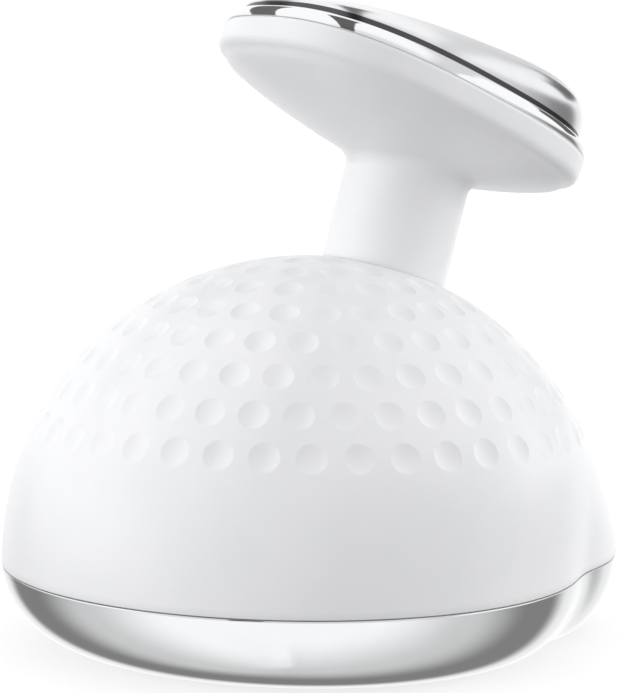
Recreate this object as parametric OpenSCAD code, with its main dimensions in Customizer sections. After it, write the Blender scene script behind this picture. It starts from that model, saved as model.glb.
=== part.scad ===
// Body slimming massager: a dimpled dome on a lobed chrome base, with a leaning neck and a pebble grip.
// Millimetres. The origin is the middle of the underside, +Z is up and the rounded front faces -Y.

/* [Base outline] */
// Radius of the large front lobe at the seam
front_r = 53; // [46:0.5:60]
// Radius of the small rear lobe at the seam
rear_r = 35.6; // [32:0.2:40]
// Distance between the two lobe centres
lobe_gap = 31.4; // [26:0.2:36]
// Sharpness of the waist between the lobes
waist_k = 27; // [14:1:60]
// Height of the seam over the rest face
base_h = 15; // [13:0.2:18]
// How far the chrome base tucks in at the front of its foot
tuck_front = 15.5; // [12:0.5:17]
// How far the chrome base tucks in at the rear of its foot
tuck_rear = 9.8; // [8:0.2:12]
// Fullness of the chrome base
base_k = 1.8; // [1.6:0.05:2.2]
// How far the skin contacts stand below the base
contact_proud = 0.6; // [0.4:0.1:1]
// Thickness of the base floor
base_floor = 2.5; // [2:0.1:3.5]

/* [Dome] */
// How much larger the round crown's radius is than the front lobe's
crown_over = 3.2; // [1:0.2:5]
// Crown centre behind the front lobe centre
crown_back = 3.2; // [0:0.2:5]
// Height over the seam where the lobes have faded into the crown
fade_h = 30; // [24:1:34]
// Wall of the dome
dome_wall = 2.4; // [1.8:0.1:3]

/* [Dimples] */
// Diameter of one dimple
dimple_d = 5.4; // [3:0.1:6]
// Depth of one dimple
dimple_depth = 0.5; // [0.2:0.05:0.8]
// Latitude of the lowest row
dimple_lat = 28; // [26:0.2:30]
// Step in latitude from row to row
dimple_step = 7.95; // [7.4:0.05:9]

/* [Neck] */
// Lean of the neck to the rear
neck_lean = 16; // [8:0.5:20]
// Outer radius of the neck
neck_r = 11.7; // [9.5:0.1:13]
// Wall of the neck
neck_wall = 2.5; // [1.8:0.1:3.5]
// Distance of the neck foot behind the middle
neck_y = 11.7; // [8:0.1:14]
// Radius of the fillet under the grip
neck_fillet = 3; // [2:0.5:5]

/* [Grip] */
// Length of the grip from front to rear
grip_l = 71.6; // [64:0.2:84]
// Width of the grip
grip_w = 55.2; // [50:0.2:64]
// Squareness of the grip outline
grip_m = 2.6; // [2.2:0.1:3.2]
// Tilt of the grip to the rear
grip_tilt = 22.8; // [16:0.2:26]
// Grip middle behind the middle of the base
grip_y = 16.9; // [14:0.1:20]
// Height of the grip middle over the seam
grip_rise = 85.7; // [80:0.1:96]
// Depth of the grip shell under its rim, in line with the neck
shell_h = 15.6; // [14:0.2:17]
// Straight part of the shell wall
shell_side = 2.9; // [2:0.1:4]
// Wall of the grip shell and its cover
grip_wall = 2.2; // [1.8:0.1:2.6]
// Height of the chrome trim band
trim_h = 2.8; // [2:0.1:3.6]
// How far the trim band draws in at its top
trim_in = 2.2; // [1:0.1:2.6]
// Rise of the top cover over the trim band
cover_rise = 8.6; // [8:0.1:11]
// Extra rise of the cover at the rear
cover_wedge = 4.6; // [2:0.1:5.5]

/* [Controls] */
// Radius of the power button
power_r = 4.5; // [3.5:0.1:5]
// Radius of the mode and level buttons
small_r = 3.5; // [2.5:0.1:3.8]
// Spacing of the buttons
button_gap = 11.5; // [11:0.1:13]
// Gap round each button
button_clear = 0.3; // [0.2:0.05:0.4]
// Travel of a button
button_travel = 0.4; // [0.2:0.05:0.5]
// Depth of the control board under the cover top
board_drop = 7.5; // [7:0.1:8.5]

/* [Treatment head] */
// Radius of the treatment plate
plate_r = 28.5; // [27.5:0.1:29.5]
// Radius of the centre probe
probe_r = 8; // [6:0.1:8.2]
// Width of the light ring
ring_w = 3.6; // [2.6:0.1:3.8]
// Radius of one electrode
pad_r = 6; // [5:0.1:6.1]
// Distance of the electrodes from the probe axis
pad_at = 20.6; // [20.4:0.1:21.2]

/* [Inside] */
// Radius of the drive motor
motor_r = 6; // [5:0.1:6.5]
// Length of the drive motor
motor_l = 22; // [18:0.5:26]
// Length of the battery
battery_l = 46; // [36:1:50]
// Width of the battery
battery_w = 30; // [24:1:32]
// Thickness of the battery
battery_h = 9; // [6:0.5:10]

/* [Hidden] */

white = [0.96, 0.96, 0.97];
chrome = [0.8, 0.8, 0.82];
steel = [0.62, 0.63, 0.66];
board_green = [0.1, 0.36, 0.22];

fit = 0.1;
tight = 0.05;
eps = 0.01;
seam_z = base_h;
crown_r = front_r + crown_over;
floor_z = contact_proud + base_floor;

// Lobe centres lie so that the whole outline is centred on the origin
front_y = (front_r - rear_r - lobe_gap) / 2;
rear_y = front_y + lobe_gap;
axis_y = front_y + crown_back;

outer_seg = 96;
inner_seg = 48;
fine = 48;

// Distance from the crown axis to a lobe's circle in direction a
function lobe(a, r, y) =
  let (dy = axis_y - y, b = dy * sin(a))
  sqrt(b * b - dy * dy + r * r) - b;

// Outline of the seam, inset by t: two lobes run together with a soft waist
function plan(a, t = 0) =
  let (f = lobe(a, front_r, front_y), b = lobe(a, rear_r, rear_y), m = max(f, b))
  m * pow(pow(f / m, waist_k) + pow(b / m, waist_k), 1 / waist_k) - t;

// Radius of the dome at height h over the seam, inset by t
function dome_r(a, h, t) =
  let (c = crown_r - t, s = sqrt(1 - pow(h / c, 2)), w = pow(sin(90 * min(1, h / fade_h)), 2))
  s * ((1 - w) * plan(a, t) + w * c);

function ring(n, z, r) = [for (i = [0 : n - 1]) let (a = 360 * i / n)
  [r[i] * cos(a), axis_y + r[i] * sin(a), z]];

function dome_ring(n, h, t) = ring(n, seam_z + h, [for (i = [0 : n - 1]) dome_r(360 * i / n, h, t)]);

// Closed solid through a stack of rings, from the lowest to the highest
module loft(rings) {
  n = len(rings[0]);
  top = len(rings) - 1;
  sides = [for (k = [0 : top - 1], i = [0 : n - 1])
    let (j = (i + 1) % n, p = k * n, q = p + n)
    each [[p + i, q + i, q + j], [p + i, q + j, p + j]]];
  foot = [for (i = [0 : n - 1]) i];
  head = [for (i = [n - 1 : -1 : 0]) top * n + i];
  polyhedron([for (r = rings) each r], concat([foot], sides, [head]));
}

// Flat outline of the seam, inset by t
module plan_2d(t, n = outer_seg) {
  translate([0, axis_y])
    polygon([for (i = [0 : n - 1]) let (a = 360 * i / n, r = plan(a, t)) [r * cos(a), r * sin(a)]]);
}

// Dome volume inset by t: lobed skirt under a round crown.
// The crown's foot stands just inside the flats of the skirt's top ring.
skirt_steps = 7;
crown_set = 0.02;
module dome_volume(n, t, steps) {
  foot_in = crown_r * (1 - cos(180 / n)) + crown_set;
  loft(concat(
    t > 0 ? [ring(n, seam_z - 1, [for (i = [0 : n - 1]) plan(360 * i / n, t)])] : [],
    [for (k = [0 : steps]) dome_ring(n, fade_h * k / steps, t)]));
  translate([0, axis_y, seam_z])
    intersection() {
      rotate([90, 0, 0]) sphere(crown_r - t - foot_in, $fn = 120);
      translate([0, 0, fade_h]) cylinder(h = crown_r, r = crown_r, $fn = fine);
    }
}

// Screw with a pan head on its +Z end, its shank down to -l
screw_r = 1;
head_r = 1.9;
head_h = 1.4;
module screw(l, r = screw_r) {
  translate([0, 0, -l]) cylinder(h = l + eps, r = r, $fn = 24);
  difference() {
    cylinder(h = head_h, r = head_r, $fn = 24);
    translate([0, 0, head_h / 2]) {
      translate([-head_r, -0.25, 0]) cube([2 * head_r, 0.5, head_h]);
      translate([-0.25, -head_r, 0]) cube([0.5, 2 * head_r, head_h]);
    }
  }
}

module screw_hole(l, r = screw_r) {
  translate([0, 0, -l]) cylinder(h = l + eps, r = r + tight, $fn = 24);
}

module at_front(r, angles) {
  for (a = angles) translate([r * cos(a), front_y + r * sin(a), 0]) rotate([0, 0, a]) children();
}

module at_rear(r, angles) {
  for (a = angles) translate([r * cos(a), rear_y + r * sin(a), 0]) rotate([0, 0, a]) children();
}

// Base pan: outline at height z over its foot
flange_w = 2.8;
flange_h = 1.7;
lip_wall = 4.5;
pan_wall = 2.2;
pan_h = seam_z - contact_proud;
step_z = floor_z + 4.5;
function tuck(a) = (tuck_front + tuck_rear) / 2 - (tuck_front - tuck_rear) / 2 * sin(a);
function pan_in(q) = pow(1 - pow(1 - q, base_k), 1 / base_k);
function pan_ring(n, z, wall) = [for (i = [0 : n - 1]) let (a = 360 * i / n)
  plan(a, tuck(a) * (1 - pan_in((z - contact_proud) / pan_h)) + wall)];

base_post_r = 3;
base_post_at = 34.8;
rear_post_at = 19;
base_posts = [20, 160, 222, 318];
post_top_z = floor_z + 3;
sink_h = 1.8;
chassis_z = seam_z + 2;
chassis_t = 2;
top_z = chassis_z + chassis_t;
dome_post_r = 3;
dome_post_at = front_r - 8;
dome_rear_at = rear_r - 11.6;
dome_posts = [-3, 183, 245, 295];
dome_rear_posts = [48, 132];

module at_base_posts() {
  at_front(base_post_at, base_posts) children();
  at_rear(rear_post_at, [40, 140]) children();
}

module at_dome_posts() {
  at_front(dome_post_at, dome_posts) children();
  at_rear(dome_rear_at, dome_rear_posts) children();
}

pan_steps = 8;
module base_pan() {
  n = outer_seg;
  color(chrome) difference() {
    union() {
      difference() {
        loft([for (k = [0 : pan_steps]) let (z = contact_proud + pan_h * (1 - cos(90 * k / pan_steps)))
          ring(n, z, pan_ring(n, z, 0))]);
        loft([for (z = [floor_z, step_z]) ring(inner_seg, z, pan_ring(inner_seg, floor_z, pan_wall))]);
        translate([0, 0, step_z - eps]) linear_extrude(seam_z) plan_2d(lip_wall, inner_seg);
      }
      at_base_posts() translate([0, 0, floor_z - eps])
        cylinder(h = post_top_z - floor_z + eps, r = base_post_r, $fn = fine);
    }
    translate([0, front_y, -1]) cylinder(h = floor_z + 2, r = plate_r + fit, $fn = fine);
    at_base_posts() {
      cylinder(h = post_top_z + 1, r = screw_r + 0.2, $fn = 24);
      translate([0, 0, -1]) cylinder(h = contact_proud + sink_h + 1, r = head_r + 0.2, $fn = 24);
    }
    at_front(plate_r + flange_w / 2, plate_screw_angles) translate([0, 0, floor_z]) screw_hole(1.9, 0.8);
  }
}

module base_screws() {
  color(steel) at_base_posts() translate([0, 0, contact_proud + sink_h])
    rotate([180, 0, 0]) screw(post_top_z - contact_proud - sink_h + 7);
}

// Treatment plate with the probe, light ring and electrodes
pad_flange = 1.2;
pad_angles = [45, 135, 225, 315];
plate_screw_angles = [0, 90, 180, 270];
plate_top = floor_z + flange_h;
ring_r = probe_r + ring_w;
ring_flange_h = 1.2;
probe_flange = 2;
head_post_r = 2.2;
head_post_at = plate_r - 3.2;
head_board_z = plate_top + 5;
board_t = 1.4;

module treatment_plate() {
  color(white) difference() {
    union() {
      translate([0, front_y, contact_proud]) cylinder(h = base_floor + eps, r = plate_r, $fn = fine);
      translate([0, front_y, floor_z]) cylinder(h = flange_h, r = plate_r + flange_w, $fn = fine);
      at_front(head_post_at, plate_screw_angles) translate([0, 0, plate_top - eps])
        cylinder(h = head_board_z - plate_top + eps, r = head_post_r, $fn = 24);
    }
    translate([0, front_y, -1]) cylinder(h = plate_top + 2, r = ring_r + fit, $fn = fine);
    at_front(pad_at, pad_angles) translate([0, 0, -1]) cylinder(h = plate_top + 2, r = pad_r + fit, $fn = fine);
    at_front(head_post_at, plate_screw_angles) translate([0, 0, head_board_z]) screw_hole(4.5);
    at_front(plate_r + flange_w / 2, plate_screw_angles) translate([0, 0, plate_top]) screw_hole(3, 0.9);
  }
}

// Round pad whose skin side has a softened edge
module pad(r, h, flange, flange_z, flange_t) {
  soft = 0.6;
  rotate_extrude($fn = fine)
    polygon(concat([[0, 0]], [for (q = [0 : 22.5 : 90]) [r - soft + soft * sin(q), soft - soft * cos(q)]],
      [[r, flange_z], [r + flange, flange_z], [r + flange, flange_z + flange_t], [0, flange_z + flange_t]]));
  cylinder(h = h, r = 1.5, $fn = 24);
}

module center_probe() {
  color(steel) translate([0, front_y, 0])
    pad(probe_r, plate_top + 2 * ring_flange_h, probe_flange, plate_top + ring_flange_h, ring_flange_h);
}

module light_ring() {
  z = contact_proud - 0.3;
  color([1, 0.85, 0.82, 0.8]) translate([0, front_y, 0]) difference() {
    union() {
      translate([0, 0, z]) cylinder(h = plate_top - z + eps, r = ring_r, $fn = fine);
      translate([0, 0, plate_top]) cylinder(h = ring_flange_h, r = ring_r + 0.8, $fn = fine);
    }
    translate([0, 0, -1]) cylinder(h = plate_top + 4, r = probe_r + fit, $fn = fine);
  }
}

module electrode(i) {
  color(steel) at_front(pad_at, [pad_angles[i]]) pad(pad_r, plate_top + 3, pad_flange, plate_top, 1);
}

module electrode_1() electrode(0);
module electrode_2() electrode(1);
module electrode_3() electrode(2);
module electrode_4() electrode(3);

module contact_pins() {
  color([0.85, 0.7, 0.3]) at_front(pad_at, pad_angles) {
    translate([0, 0, plate_top + 3]) cylinder(h = head_board_z - plate_top - 3, r = 0.8, $fn = 24);
    translate([0, 0, plate_top + 3.8]) cylinder(h = head_board_z - plate_top - 3.8, r = 1.3, $fn = 24);
  }
}

module head_board() {
  color(board_green) difference() {
    union() {
      translate([0, front_y, head_board_z]) cylinder(h = board_t, r = plate_r - 1, $fn = fine);
      at_front(probe_r + ring_w / 2 + 1.6, [0 : 45 : 315]) translate([-1.1, -1.1, head_board_z - 1])
        cube([2.2, 2.2, 1 + eps]);
    }
    translate([0, front_y, head_board_z - 1]) cylinder(h = 4, r = probe_r + probe_flange + 0.4, $fn = fine);
    at_front(head_post_at, plate_screw_angles) translate([0, 0, head_board_z + board_t])
      screw_hole(board_t + 1);
  }
}

module head_screws() {
  color(steel) at_front(head_post_at, plate_screw_angles)
    translate([0, 0, head_board_z + board_t]) screw(board_t + 4);
}

module plate_screws() {
  color(steel) at_front(plate_r + flange_w / 2, plate_screw_angles)
    translate([0, 0, plate_top]) screw(flange_h + 1.5, 0.75);
}

module transducer() {
  z = plate_top + 2 * ring_flange_h;
  color([0.85, 0.8, 0.6]) translate([0, front_y, z]) difference() {
    cylinder(h = 2, r = probe_r - 1.5, $fn = fine);
    translate([probe_r - 4, -1, 1.4]) cube([3, 2, 1]);
  }
}

module seam_gasket() {
  color([0.25, 0.25, 0.27]) translate([0, 0, seam_z]) linear_extrude(1.2) difference() {
    plan_2d(dome_wall + 0.6, inner_seg);
    plan_2d(lip_wall - 0.2, inner_seg);
  }
}

// Chassis plate that carries the battery, motor and main board
chassis_inset = 4;
motor_x = -5;
motor_y = 12;
motor_z = top_z + motor_r + 1.2;
saddle_w = 12;
standoff_r = 2.6;
main_z = motor_z + motor_r + 4;
main_w = 44;
main_l = 38;
main_y = 11;
standoff_x = main_w / 2 - 3.5;
standoff_y = main_l / 2 - 3.5;
battery_at = 19;
battery_y = front_y - battery_at;
socket_z = top_z + 2.2;
clamp_t = 1.6;
clamp_foot = 5;

module at_standoffs() {
  for (x = [-1, 1], y = [-1, 1]) translate([x * standoff_x, main_y + y * standoff_y, 0]) children();
}

module at_clamp_feet() {
  for (y = [-1, 1]) translate([motor_x, motor_y + y * (motor_r + clamp_t + clamp_foot / 2), 0]) children();
}

module at_strap_feet() {
  for (x = [-1, 1]) translate([x * (battery_l / 2 + clamp_t + clamp_foot / 2), battery_y, 0]) children();
}

socket_w = 9;
socket_h = 3.3;
socket_l = 7.5;
socket_y = axis_y + plan(90) - dome_wall - socket_l - 0.6;

module chassis() {
  rim = 1.6;
  color([0.75, 0.76, 0.78]) difference() {
    union() {
      translate([0, 0, chassis_z]) linear_extrude(chassis_t) plan_2d(chassis_inset, inner_seg);
      at_base_posts() translate([0, 0, post_top_z])
        cylinder(h = chassis_z - post_top_z + eps, r = base_post_r, $fn = fine);
      translate([motor_x - saddle_w / 2, motor_y - motor_r + 1, top_z - eps])
        cube([saddle_w, 2 * motor_r - 2, motor_r / 2 + 1.2]);
      at_clamp_feet() translate([-saddle_w / 4, -clamp_foot / 2, top_z - eps])
        cube([saddle_w / 2, clamp_foot, 2]);
      at_standoffs() translate([0, 0, top_z - eps])
        cylinder(h = main_z - top_z + eps, r = standoff_r, $fn = fine);
      translate([-battery_l / 2 - rim, battery_y - battery_w / 2 - rim, top_z - eps])
        cube([battery_l + 2 * rim, battery_w + 2 * rim, 2]);
      translate([-socket_w / 2 - 1, socket_y - 8, top_z - eps])
        cube([socket_w + 2, 6, socket_z - 1.2 - top_z + eps]);
    }
    translate([motor_x, motor_y, motor_z]) rotate([0, 90, 0])
      cylinder(h = 2 * motor_l, r = motor_r + tight, center = true, $fn = fine);
    translate([-battery_l / 2 - fit, battery_y - battery_w / 2 - fit, top_z])
      cube([battery_l + 2 * fit, battery_w + 2 * fit, 4]);
    at_strap_feet() translate([-clamp_foot, -clamp_foot, top_z]) cube([2 * clamp_foot, 2 * clamp_foot, 4]);
    translate([0, front_y, chassis_z - 1]) cylinder(h = 4, r = 7, $fn = fine);
    at_base_posts() translate([0, 0, post_top_z - 1]) cylinder(h = 9.5, r = screw_r + tight, $fn = 24);
    at_dome_posts() translate([0, 0, top_z]) screw_hole(chassis_t + 1);
    at_standoffs() translate([0, 0, main_z]) screw_hole(6);
    at_clamp_feet() translate([0, 0, top_z + 2]) screw_hole(3.5);
    at_strap_feet() translate([0, 0, top_z]) screw_hole(chassis_t + 1);
  }
}

module chassis_screws() {
  color(steel) at_dome_posts() translate([0, 0, chassis_z]) rotate([180, 0, 0]) screw(chassis_t + 7);
}

module battery() {
  color([0.3, 0.42, 0.6]) translate([0, battery_y, top_z]) union() {
    translate([-battery_l / 2, -battery_w / 2 + 2, 0]) cube([battery_l, battery_w - 4, battery_h]);
    for (y = [-1, 1]) translate([-battery_l / 2, y * (battery_w / 2 - 2), 2]) {
      translate([0, 0, 0]) rotate([0, 90, 0]) cylinder(h = battery_l, r = 2, $fn = 24);
      translate([0, 0, battery_h - 4]) rotate([0, 90, 0]) cylinder(h = battery_l, r = 2, $fn = 24);
      translate([0, -2, 0]) cube([battery_l, 4, battery_h - 4]);
    }
  }
}

// Strap that bridges the battery and is screwed to the chassis on both sides
module battery_clamp() {
  w = 8;
  span = battery_l / 2 + fit;
  color([0.7, 0.71, 0.73]) translate([0, battery_y, top_z]) difference() {
    union() {
      translate([-span - clamp_t, -w / 2, battery_h + fit]) cube([2 * (span + clamp_t), w, clamp_t]);
      for (x = [-1, 1]) {
        translate([x * (span + clamp_t / 2) - clamp_t / 2, -w / 2, 0])
          cube([clamp_t, w, battery_h + fit + eps]);
        translate([x * (span + clamp_t + clamp_foot / 2) - clamp_foot / 2 - eps, -w / 2, 0])
          cube([clamp_foot + 2 * eps, w, clamp_t]);
      }
    }
    for (x = [-1, 1]) translate([x * (battery_l / 2 + clamp_t + clamp_foot / 2), 0, clamp_t])
      screw_hole(clamp_t + 1);
  }
}

// Motor: can, end bosses and the bore that carries the rotor shaft
shaft_r = 1;
shaft_run = 0.05;
bore_l = 8;
module motor_body() {
  color(steel) translate([motor_x, motor_y, motor_z]) rotate([0, 90, 0]) difference() {
    union() {
      cylinder(h = motor_l, r = motor_r, center = true, $fn = fine);
      translate([0, 0, motor_l / 2 - eps]) cylinder(h = 1.2, r = 2.5, $fn = fine);
      translate([0, 0, -motor_l / 2 - 1]) cylinder(h = 1 + eps, r = 2.5, $fn = fine);
    }
    translate([0, 0, motor_l / 2 + 1.2 - bore_l])
      cylinder(h = bore_l + 1, r = shaft_r + shaft_run, $fn = fine);
  }
}

// Shaft with the off-centre weight that makes the head vibrate
module motor_rotor() {
  weight_r = motor_r - 1;
  weight_l = 6;
  color([0.55, 0.5, 0.42]) translate([motor_x + motor_l / 2 + 1.2, motor_y, motor_z]) rotate([0, 90, 0]) {
    translate([0, 0, 0.5 - bore_l]) cylinder(h = bore_l + weight_l + 1, r = shaft_r, $fn = fine);
    translate([0, 0, 1]) intersection() {
      cylinder(h = weight_l, r = weight_r, $fn = fine);
      translate([-1.8, -weight_r, -1]) cube([2 * weight_r, 2 * weight_r, weight_l + 2]);
    }
  }
}

// Saddle clamp over the motor
module motor_clamp() {
  w = saddle_w / 2;
  color(steel) translate([motor_x, motor_y, motor_z]) difference() {
    union() {
      rotate([0, 90, 0]) cylinder(h = w, r = motor_r + clamp_t, center = true, $fn = fine);
      for (y = [-1, 1]) {
        translate([-w / 2, y * (motor_r + clamp_t / 2) - clamp_t / 2, top_z + 2 - motor_z])
          cube([w, clamp_t, motor_z - top_z - 2]);
        translate([-w / 2, y * (motor_r + clamp_t + clamp_foot / 2) - clamp_foot / 2 - eps,
          top_z + 2 - motor_z]) cube([w, clamp_foot + 2 * eps, clamp_t]);
      }
    }
    rotate([0, 90, 0]) cylinder(h = 2 * w, r = motor_r + tight, center = true, $fn = fine);
    translate([-w, -motor_r - tight, -2 * motor_r]) cube([2 * w, 2 * motor_r + 2 * tight, 2 * motor_r]);
    for (y = [-1, 1]) translate([0, y * (motor_r + clamp_t + clamp_foot / 2), top_z + 2 + clamp_t - motor_z])
      screw_hole(clamp_t + 1);
  }
}

module clamp_screws() {
  color(steel) {
    at_clamp_feet() translate([0, 0, top_z + 2 + clamp_t]) screw(clamp_t + 3);
    at_strap_feet() translate([0, 0, top_z + clamp_t]) screw(clamp_t + 1.6);
  }
}

// Main board, with the connector that meets the neck lead
lead_plug_s = -25.5;
module main_board() {
  color(board_green) difference() {
    union() {
      translate([-main_w / 2, main_y - main_l / 2, main_z]) cube([main_w, main_l, board_t]);
      translate([8, main_y + 2, main_z + board_t - eps]) cube([9, 9, 1.2]);
      translate([-17, main_y, main_z + board_t - eps]) cube([7, 10, 1.6]);
      translate([-14, main_y - 12, main_z + board_t - eps]) cylinder(h = 6, r = 3, $fn = fine);
      translate([13, main_y - 11, main_z + board_t - eps]) cylinder(h = 4, r = 2.5, $fn = fine);
      at_neck() translate([-4, -3, lead_foot_s]) cube([8, 6, lead_plug_s - lead_foot_s]);
    }
    at_standoffs() translate([0, 0, main_z + board_t]) screw_hole(board_t + 1);
    translate([-main_w, main_y - main_l, main_z - 10]) cube([2 * main_w, 2 * main_l, 10]);
  }
}

module board_screws() {
  color(steel) at_standoffs() translate([0, 0, main_z + board_t]) screw(board_t + 5);
}

// Charging socket on its own small board, behind an opening in the rear lobe
module charge_socket() {
  r = socket_h / 2;
  mouth = 1;
  color(steel) {
    translate([-socket_w / 2 - 1, socket_y - 8, socket_z - 1.2]) cube([socket_w + 2, socket_l + 2.6, 1.2]);
    translate([0, socket_y, socket_z + r]) rotate([-90, 0, 0]) difference() {
      union() {
        translate([-socket_w / 2 + r, -r, 0]) cube([socket_w - socket_h, socket_h, socket_l]);
        for (x = [-1, 1]) translate([x * (socket_w / 2 - r), 0, 0]) cylinder(h = socket_l, r = r, $fn = fine);
      }
      translate([-socket_w / 2 + r, -r + 0.35, mouth])
        cube([socket_w - socket_h, socket_h - 0.7, socket_l]);
      for (x = [-1, 1]) translate([x * (socket_w / 2 - r), 0, mouth])
        cylinder(h = socket_l, r = r - 0.35, $fn = fine);
    }
    translate([-3, socket_y + mouth - eps, socket_z + r - 0.35]) cube([6, 4.6, 0.7]);
  }
}

module socket_opening() {
  r = socket_h / 2 + 0.4;
  translate([0, socket_y + socket_l - 4, socket_z + socket_h / 2]) rotate([-90, 0, 0]) {
    translate([-socket_w / 2 + r - 0.4, -r, 0]) cube([socket_w - 2 * r + 0.8, 2 * r, 20]);
    for (x = [-1, 1]) translate([x * (socket_w / 2 - r + 0.4), 0, 0]) cylinder(h = 20, r = r, $fn = fine);
  }
}

// Dimples: each row has its own count and its own turn, in shares of one pitch
dimple_rows = [[39, 0], [37, 0.4], [33, 0.32], [29, 0.24], [25, 0.15], [18, 0.2], [12, 0.4], [6, 0.5]];
dimple_ball = (pow(dimple_d / 2, 2) + pow(dimple_depth, 2)) / (2 * dimple_depth);
neck_keep = neck_r + dimple_d / 2 + 1.2;

// Direction of the neck, and how far a point lies from its axis
neck_z = seam_z + 50;
neck_dir = [0, sin(neck_lean), cos(neck_lean)];
function off_neck(p) = norm(cross(p - [0, neck_y, neck_z], neck_dir));

module dimples() {
  for (k = [0 : len(dimple_rows) - 1]) {
    n = dimple_rows[k][0];
    lat = dimple_lat + k * dimple_step;
    h = crown_r * sin(lat);
    for (i = [0 : n - 1]) {
      a = 360 * (i + dimple_rows[k][1]) / n - 90;
      r = dome_r(a, h, 0);
      p = [r * cos(a), axis_y + r * sin(a), seam_z + h];
      out = [cos(a) * cos(lat), sin(a) * cos(lat), sin(lat)];
      if (off_neck(p) > neck_keep)
        translate(p + (dimple_ball - dimple_depth) * out) rotate([90, 0, 0]) sphere(dimple_ball, $fn = 24);
    }
  }
}

module at_neck() {
  translate([0, neck_y, neck_z]) rotate([-neck_lean, 0, 0]) children();
}

// Neck stations, measured along its axis from the neck foot
boss_top_s = 0.3;
boss_foot_s = -4;
boss_r = neck_r + 4.3;
plate_t = 2.5;
boss_screw_at = neck_r + 2.1;
neck_screw_at = neck_r - 3.1;
neck_end_h = 6;
neck_screws_at = [90, 210, 330];
boss_screws_at = [30, 150, 270];

module dome_shell() {
  rib_w = 2;
  rib_h = 5.5;
  rib_l = 11;
  color(white) difference() {
    union() {
      difference() {
        dome_volume(outer_seg, 0, skirt_steps);
        dome_volume(inner_seg, dome_wall, 5);
      }
      at_neck() translate([0, 0, boss_foot_s])
        cylinder(h = boss_top_s - boss_foot_s, r = boss_r, $fn = fine);
      intersection() {
        dome_volume(inner_seg, dome_wall / 2, 5);
        at_dome_posts() {
          translate([0, 0, top_z]) cylinder(h = 9, r = dome_post_r, $fn = fine);
          translate([0, -rib_w / 2, top_z + 1]) cube([rib_l, rib_w, rib_h]);
        }
      }
    }
    at_neck() translate([0, 0, boss_foot_s - 1]) cylinder(h = 20, r = neck_r + tight, $fn = fine);
    at_neck() for (a = boss_screws_at) rotate([0, 0, a]) translate([boss_screw_at, 0, boss_foot_s])
      rotate([180, 0, 0]) screw_hole(4);
    at_dome_posts() translate([0, 0, top_z - 1]) cylinder(h = 9, r = screw_r + tight, $fn = 24);
    socket_opening();
    dimples();
  }
}

// Plate that clamps the neck foot to the dome from inside
lead_r = 1.8;
module neck_plate() {
  color(steel) at_neck() difference() {
    translate([0, 0, boss_foot_s - plate_t]) cylinder(h = plate_t, r = boss_r - 0.5, $fn = fine);
    translate([0, 0, boss_foot_s - 5]) cylinder(h = 6, r = lead_r + tight, $fn = fine);
    at_neck_screws() translate([0, 0, boss_foot_s]) rotate([180, 0, 0])
      translate([0, 0, plate_t]) screw_hole(plate_t + 1);
  }
}

module at_neck_screws() {
  for (a = neck_screws_at) rotate([0, 0, a]) translate([neck_screw_at, 0, 0]) children();
  for (a = boss_screws_at) rotate([0, 0, a]) translate([boss_screw_at, 0, 0]) children();
}

module neck_screws() {
  color(steel) at_neck() at_neck_screws() translate([0, 0, boss_foot_s - plate_t])
    rotate([180, 0, 0]) screw(plate_t + 3.4);
}

// Lead held in the neck, from the main board's connector to the control board's
lead_foot_s = lead_plug_s - 4.4;
plug_h = 4;
module harness() {
  color([0.15, 0.15, 0.16]) at_neck() {
    translate([-3.5, -2.5, lead_plug_s]) cube([7, 5, plug_h]);
    translate([0, 0, lead_plug_s + plug_h - eps])
      cylinder(h = lead_top_s - lead_plug_s - 2 * plug_h + 2 * eps, r = lead_r, $fn = 32);
    translate([-3.5, -2.5, lead_top_s - plug_h]) cube([7, 5, plug_h]);
  }
}

// Grip frame: Z is square to the rim, Y runs to the rear
grip_z = seam_z + grip_rise;
module at_grip() {
  translate([0, grip_y, grip_z]) rotate([-grip_tilt, 0, 0]) children();
}

grip_seg = 64;
under_k = 3;
under_edge = 0.36;
cover_k = 3.3;
function sgn_pow(x, e) = sign(x) * pow(abs(x), e);

// Rounded outline of the grip, inset by t and drawn in by f
function grip_outline(n, t, f = 1) = [for (i = [0 : n - 1]) let (a = 360 * i / n)
  [f * (grip_w / 2 - t) * sgn_pow(cos(a), 2 / grip_m), f * (grip_l / 2 - t) * sgn_pow(sin(a), 2 / grip_m)]];

function belly(f, k) = pow(1 - pow(f, k), 1 / k);

// Underside of the grip: a tight round-over at the rim, then a straight slope to the middle
function slope(f) = under_edge * belly(f, under_k) + (1 - under_edge) * (1 - f);
function lift(outline, z0, rise, wedge) = [for (p = outline)
  [p[0], p[1], z0 + rise + wedge * p[1] / (grip_l / 2)]];

// Half pebble: a stack of outlines from a small tip to the full rim, or the other way up
function pebble(n, t, z0, rise, wedge, steps, k) = [for (i = [0 : steps])
  let (f = cos(88 * i / steps), b = belly(f, k)) lift(grip_outline(n, t, f), z0, rise * b, wedge * b)];
function flip(rings) = [for (k = [len(rings) - 1 : -1 : 0]) rings[k]];

module grip_2d(t, n = grip_seg) {
  polygon(grip_outline(n, t));
}

module bowl(n, t, steps) {
  depth = shell_h - shell_side - t;
  loft(concat(
    flip([for (i = [0 : steps]) let (f = cos(88 * i / steps))
      lift(grip_outline(n, t, f), -shell_side, -depth * slope(f), 0)]),
    [lift(grip_outline(n, t), 0, t > 0 ? 1 : 0, 0)]));
}

// Concave fillet that runs the neck into the sloping underside
lean_gap = grip_tilt - neck_lean;
foot_y = (neck_y - grip_y) * cos(grip_tilt) - (neck_z - grip_z) * sin(grip_tilt);
foot_z = (neck_y - grip_y) * sin(grip_tilt) + (neck_z - grip_z) * cos(grip_tilt);

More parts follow.
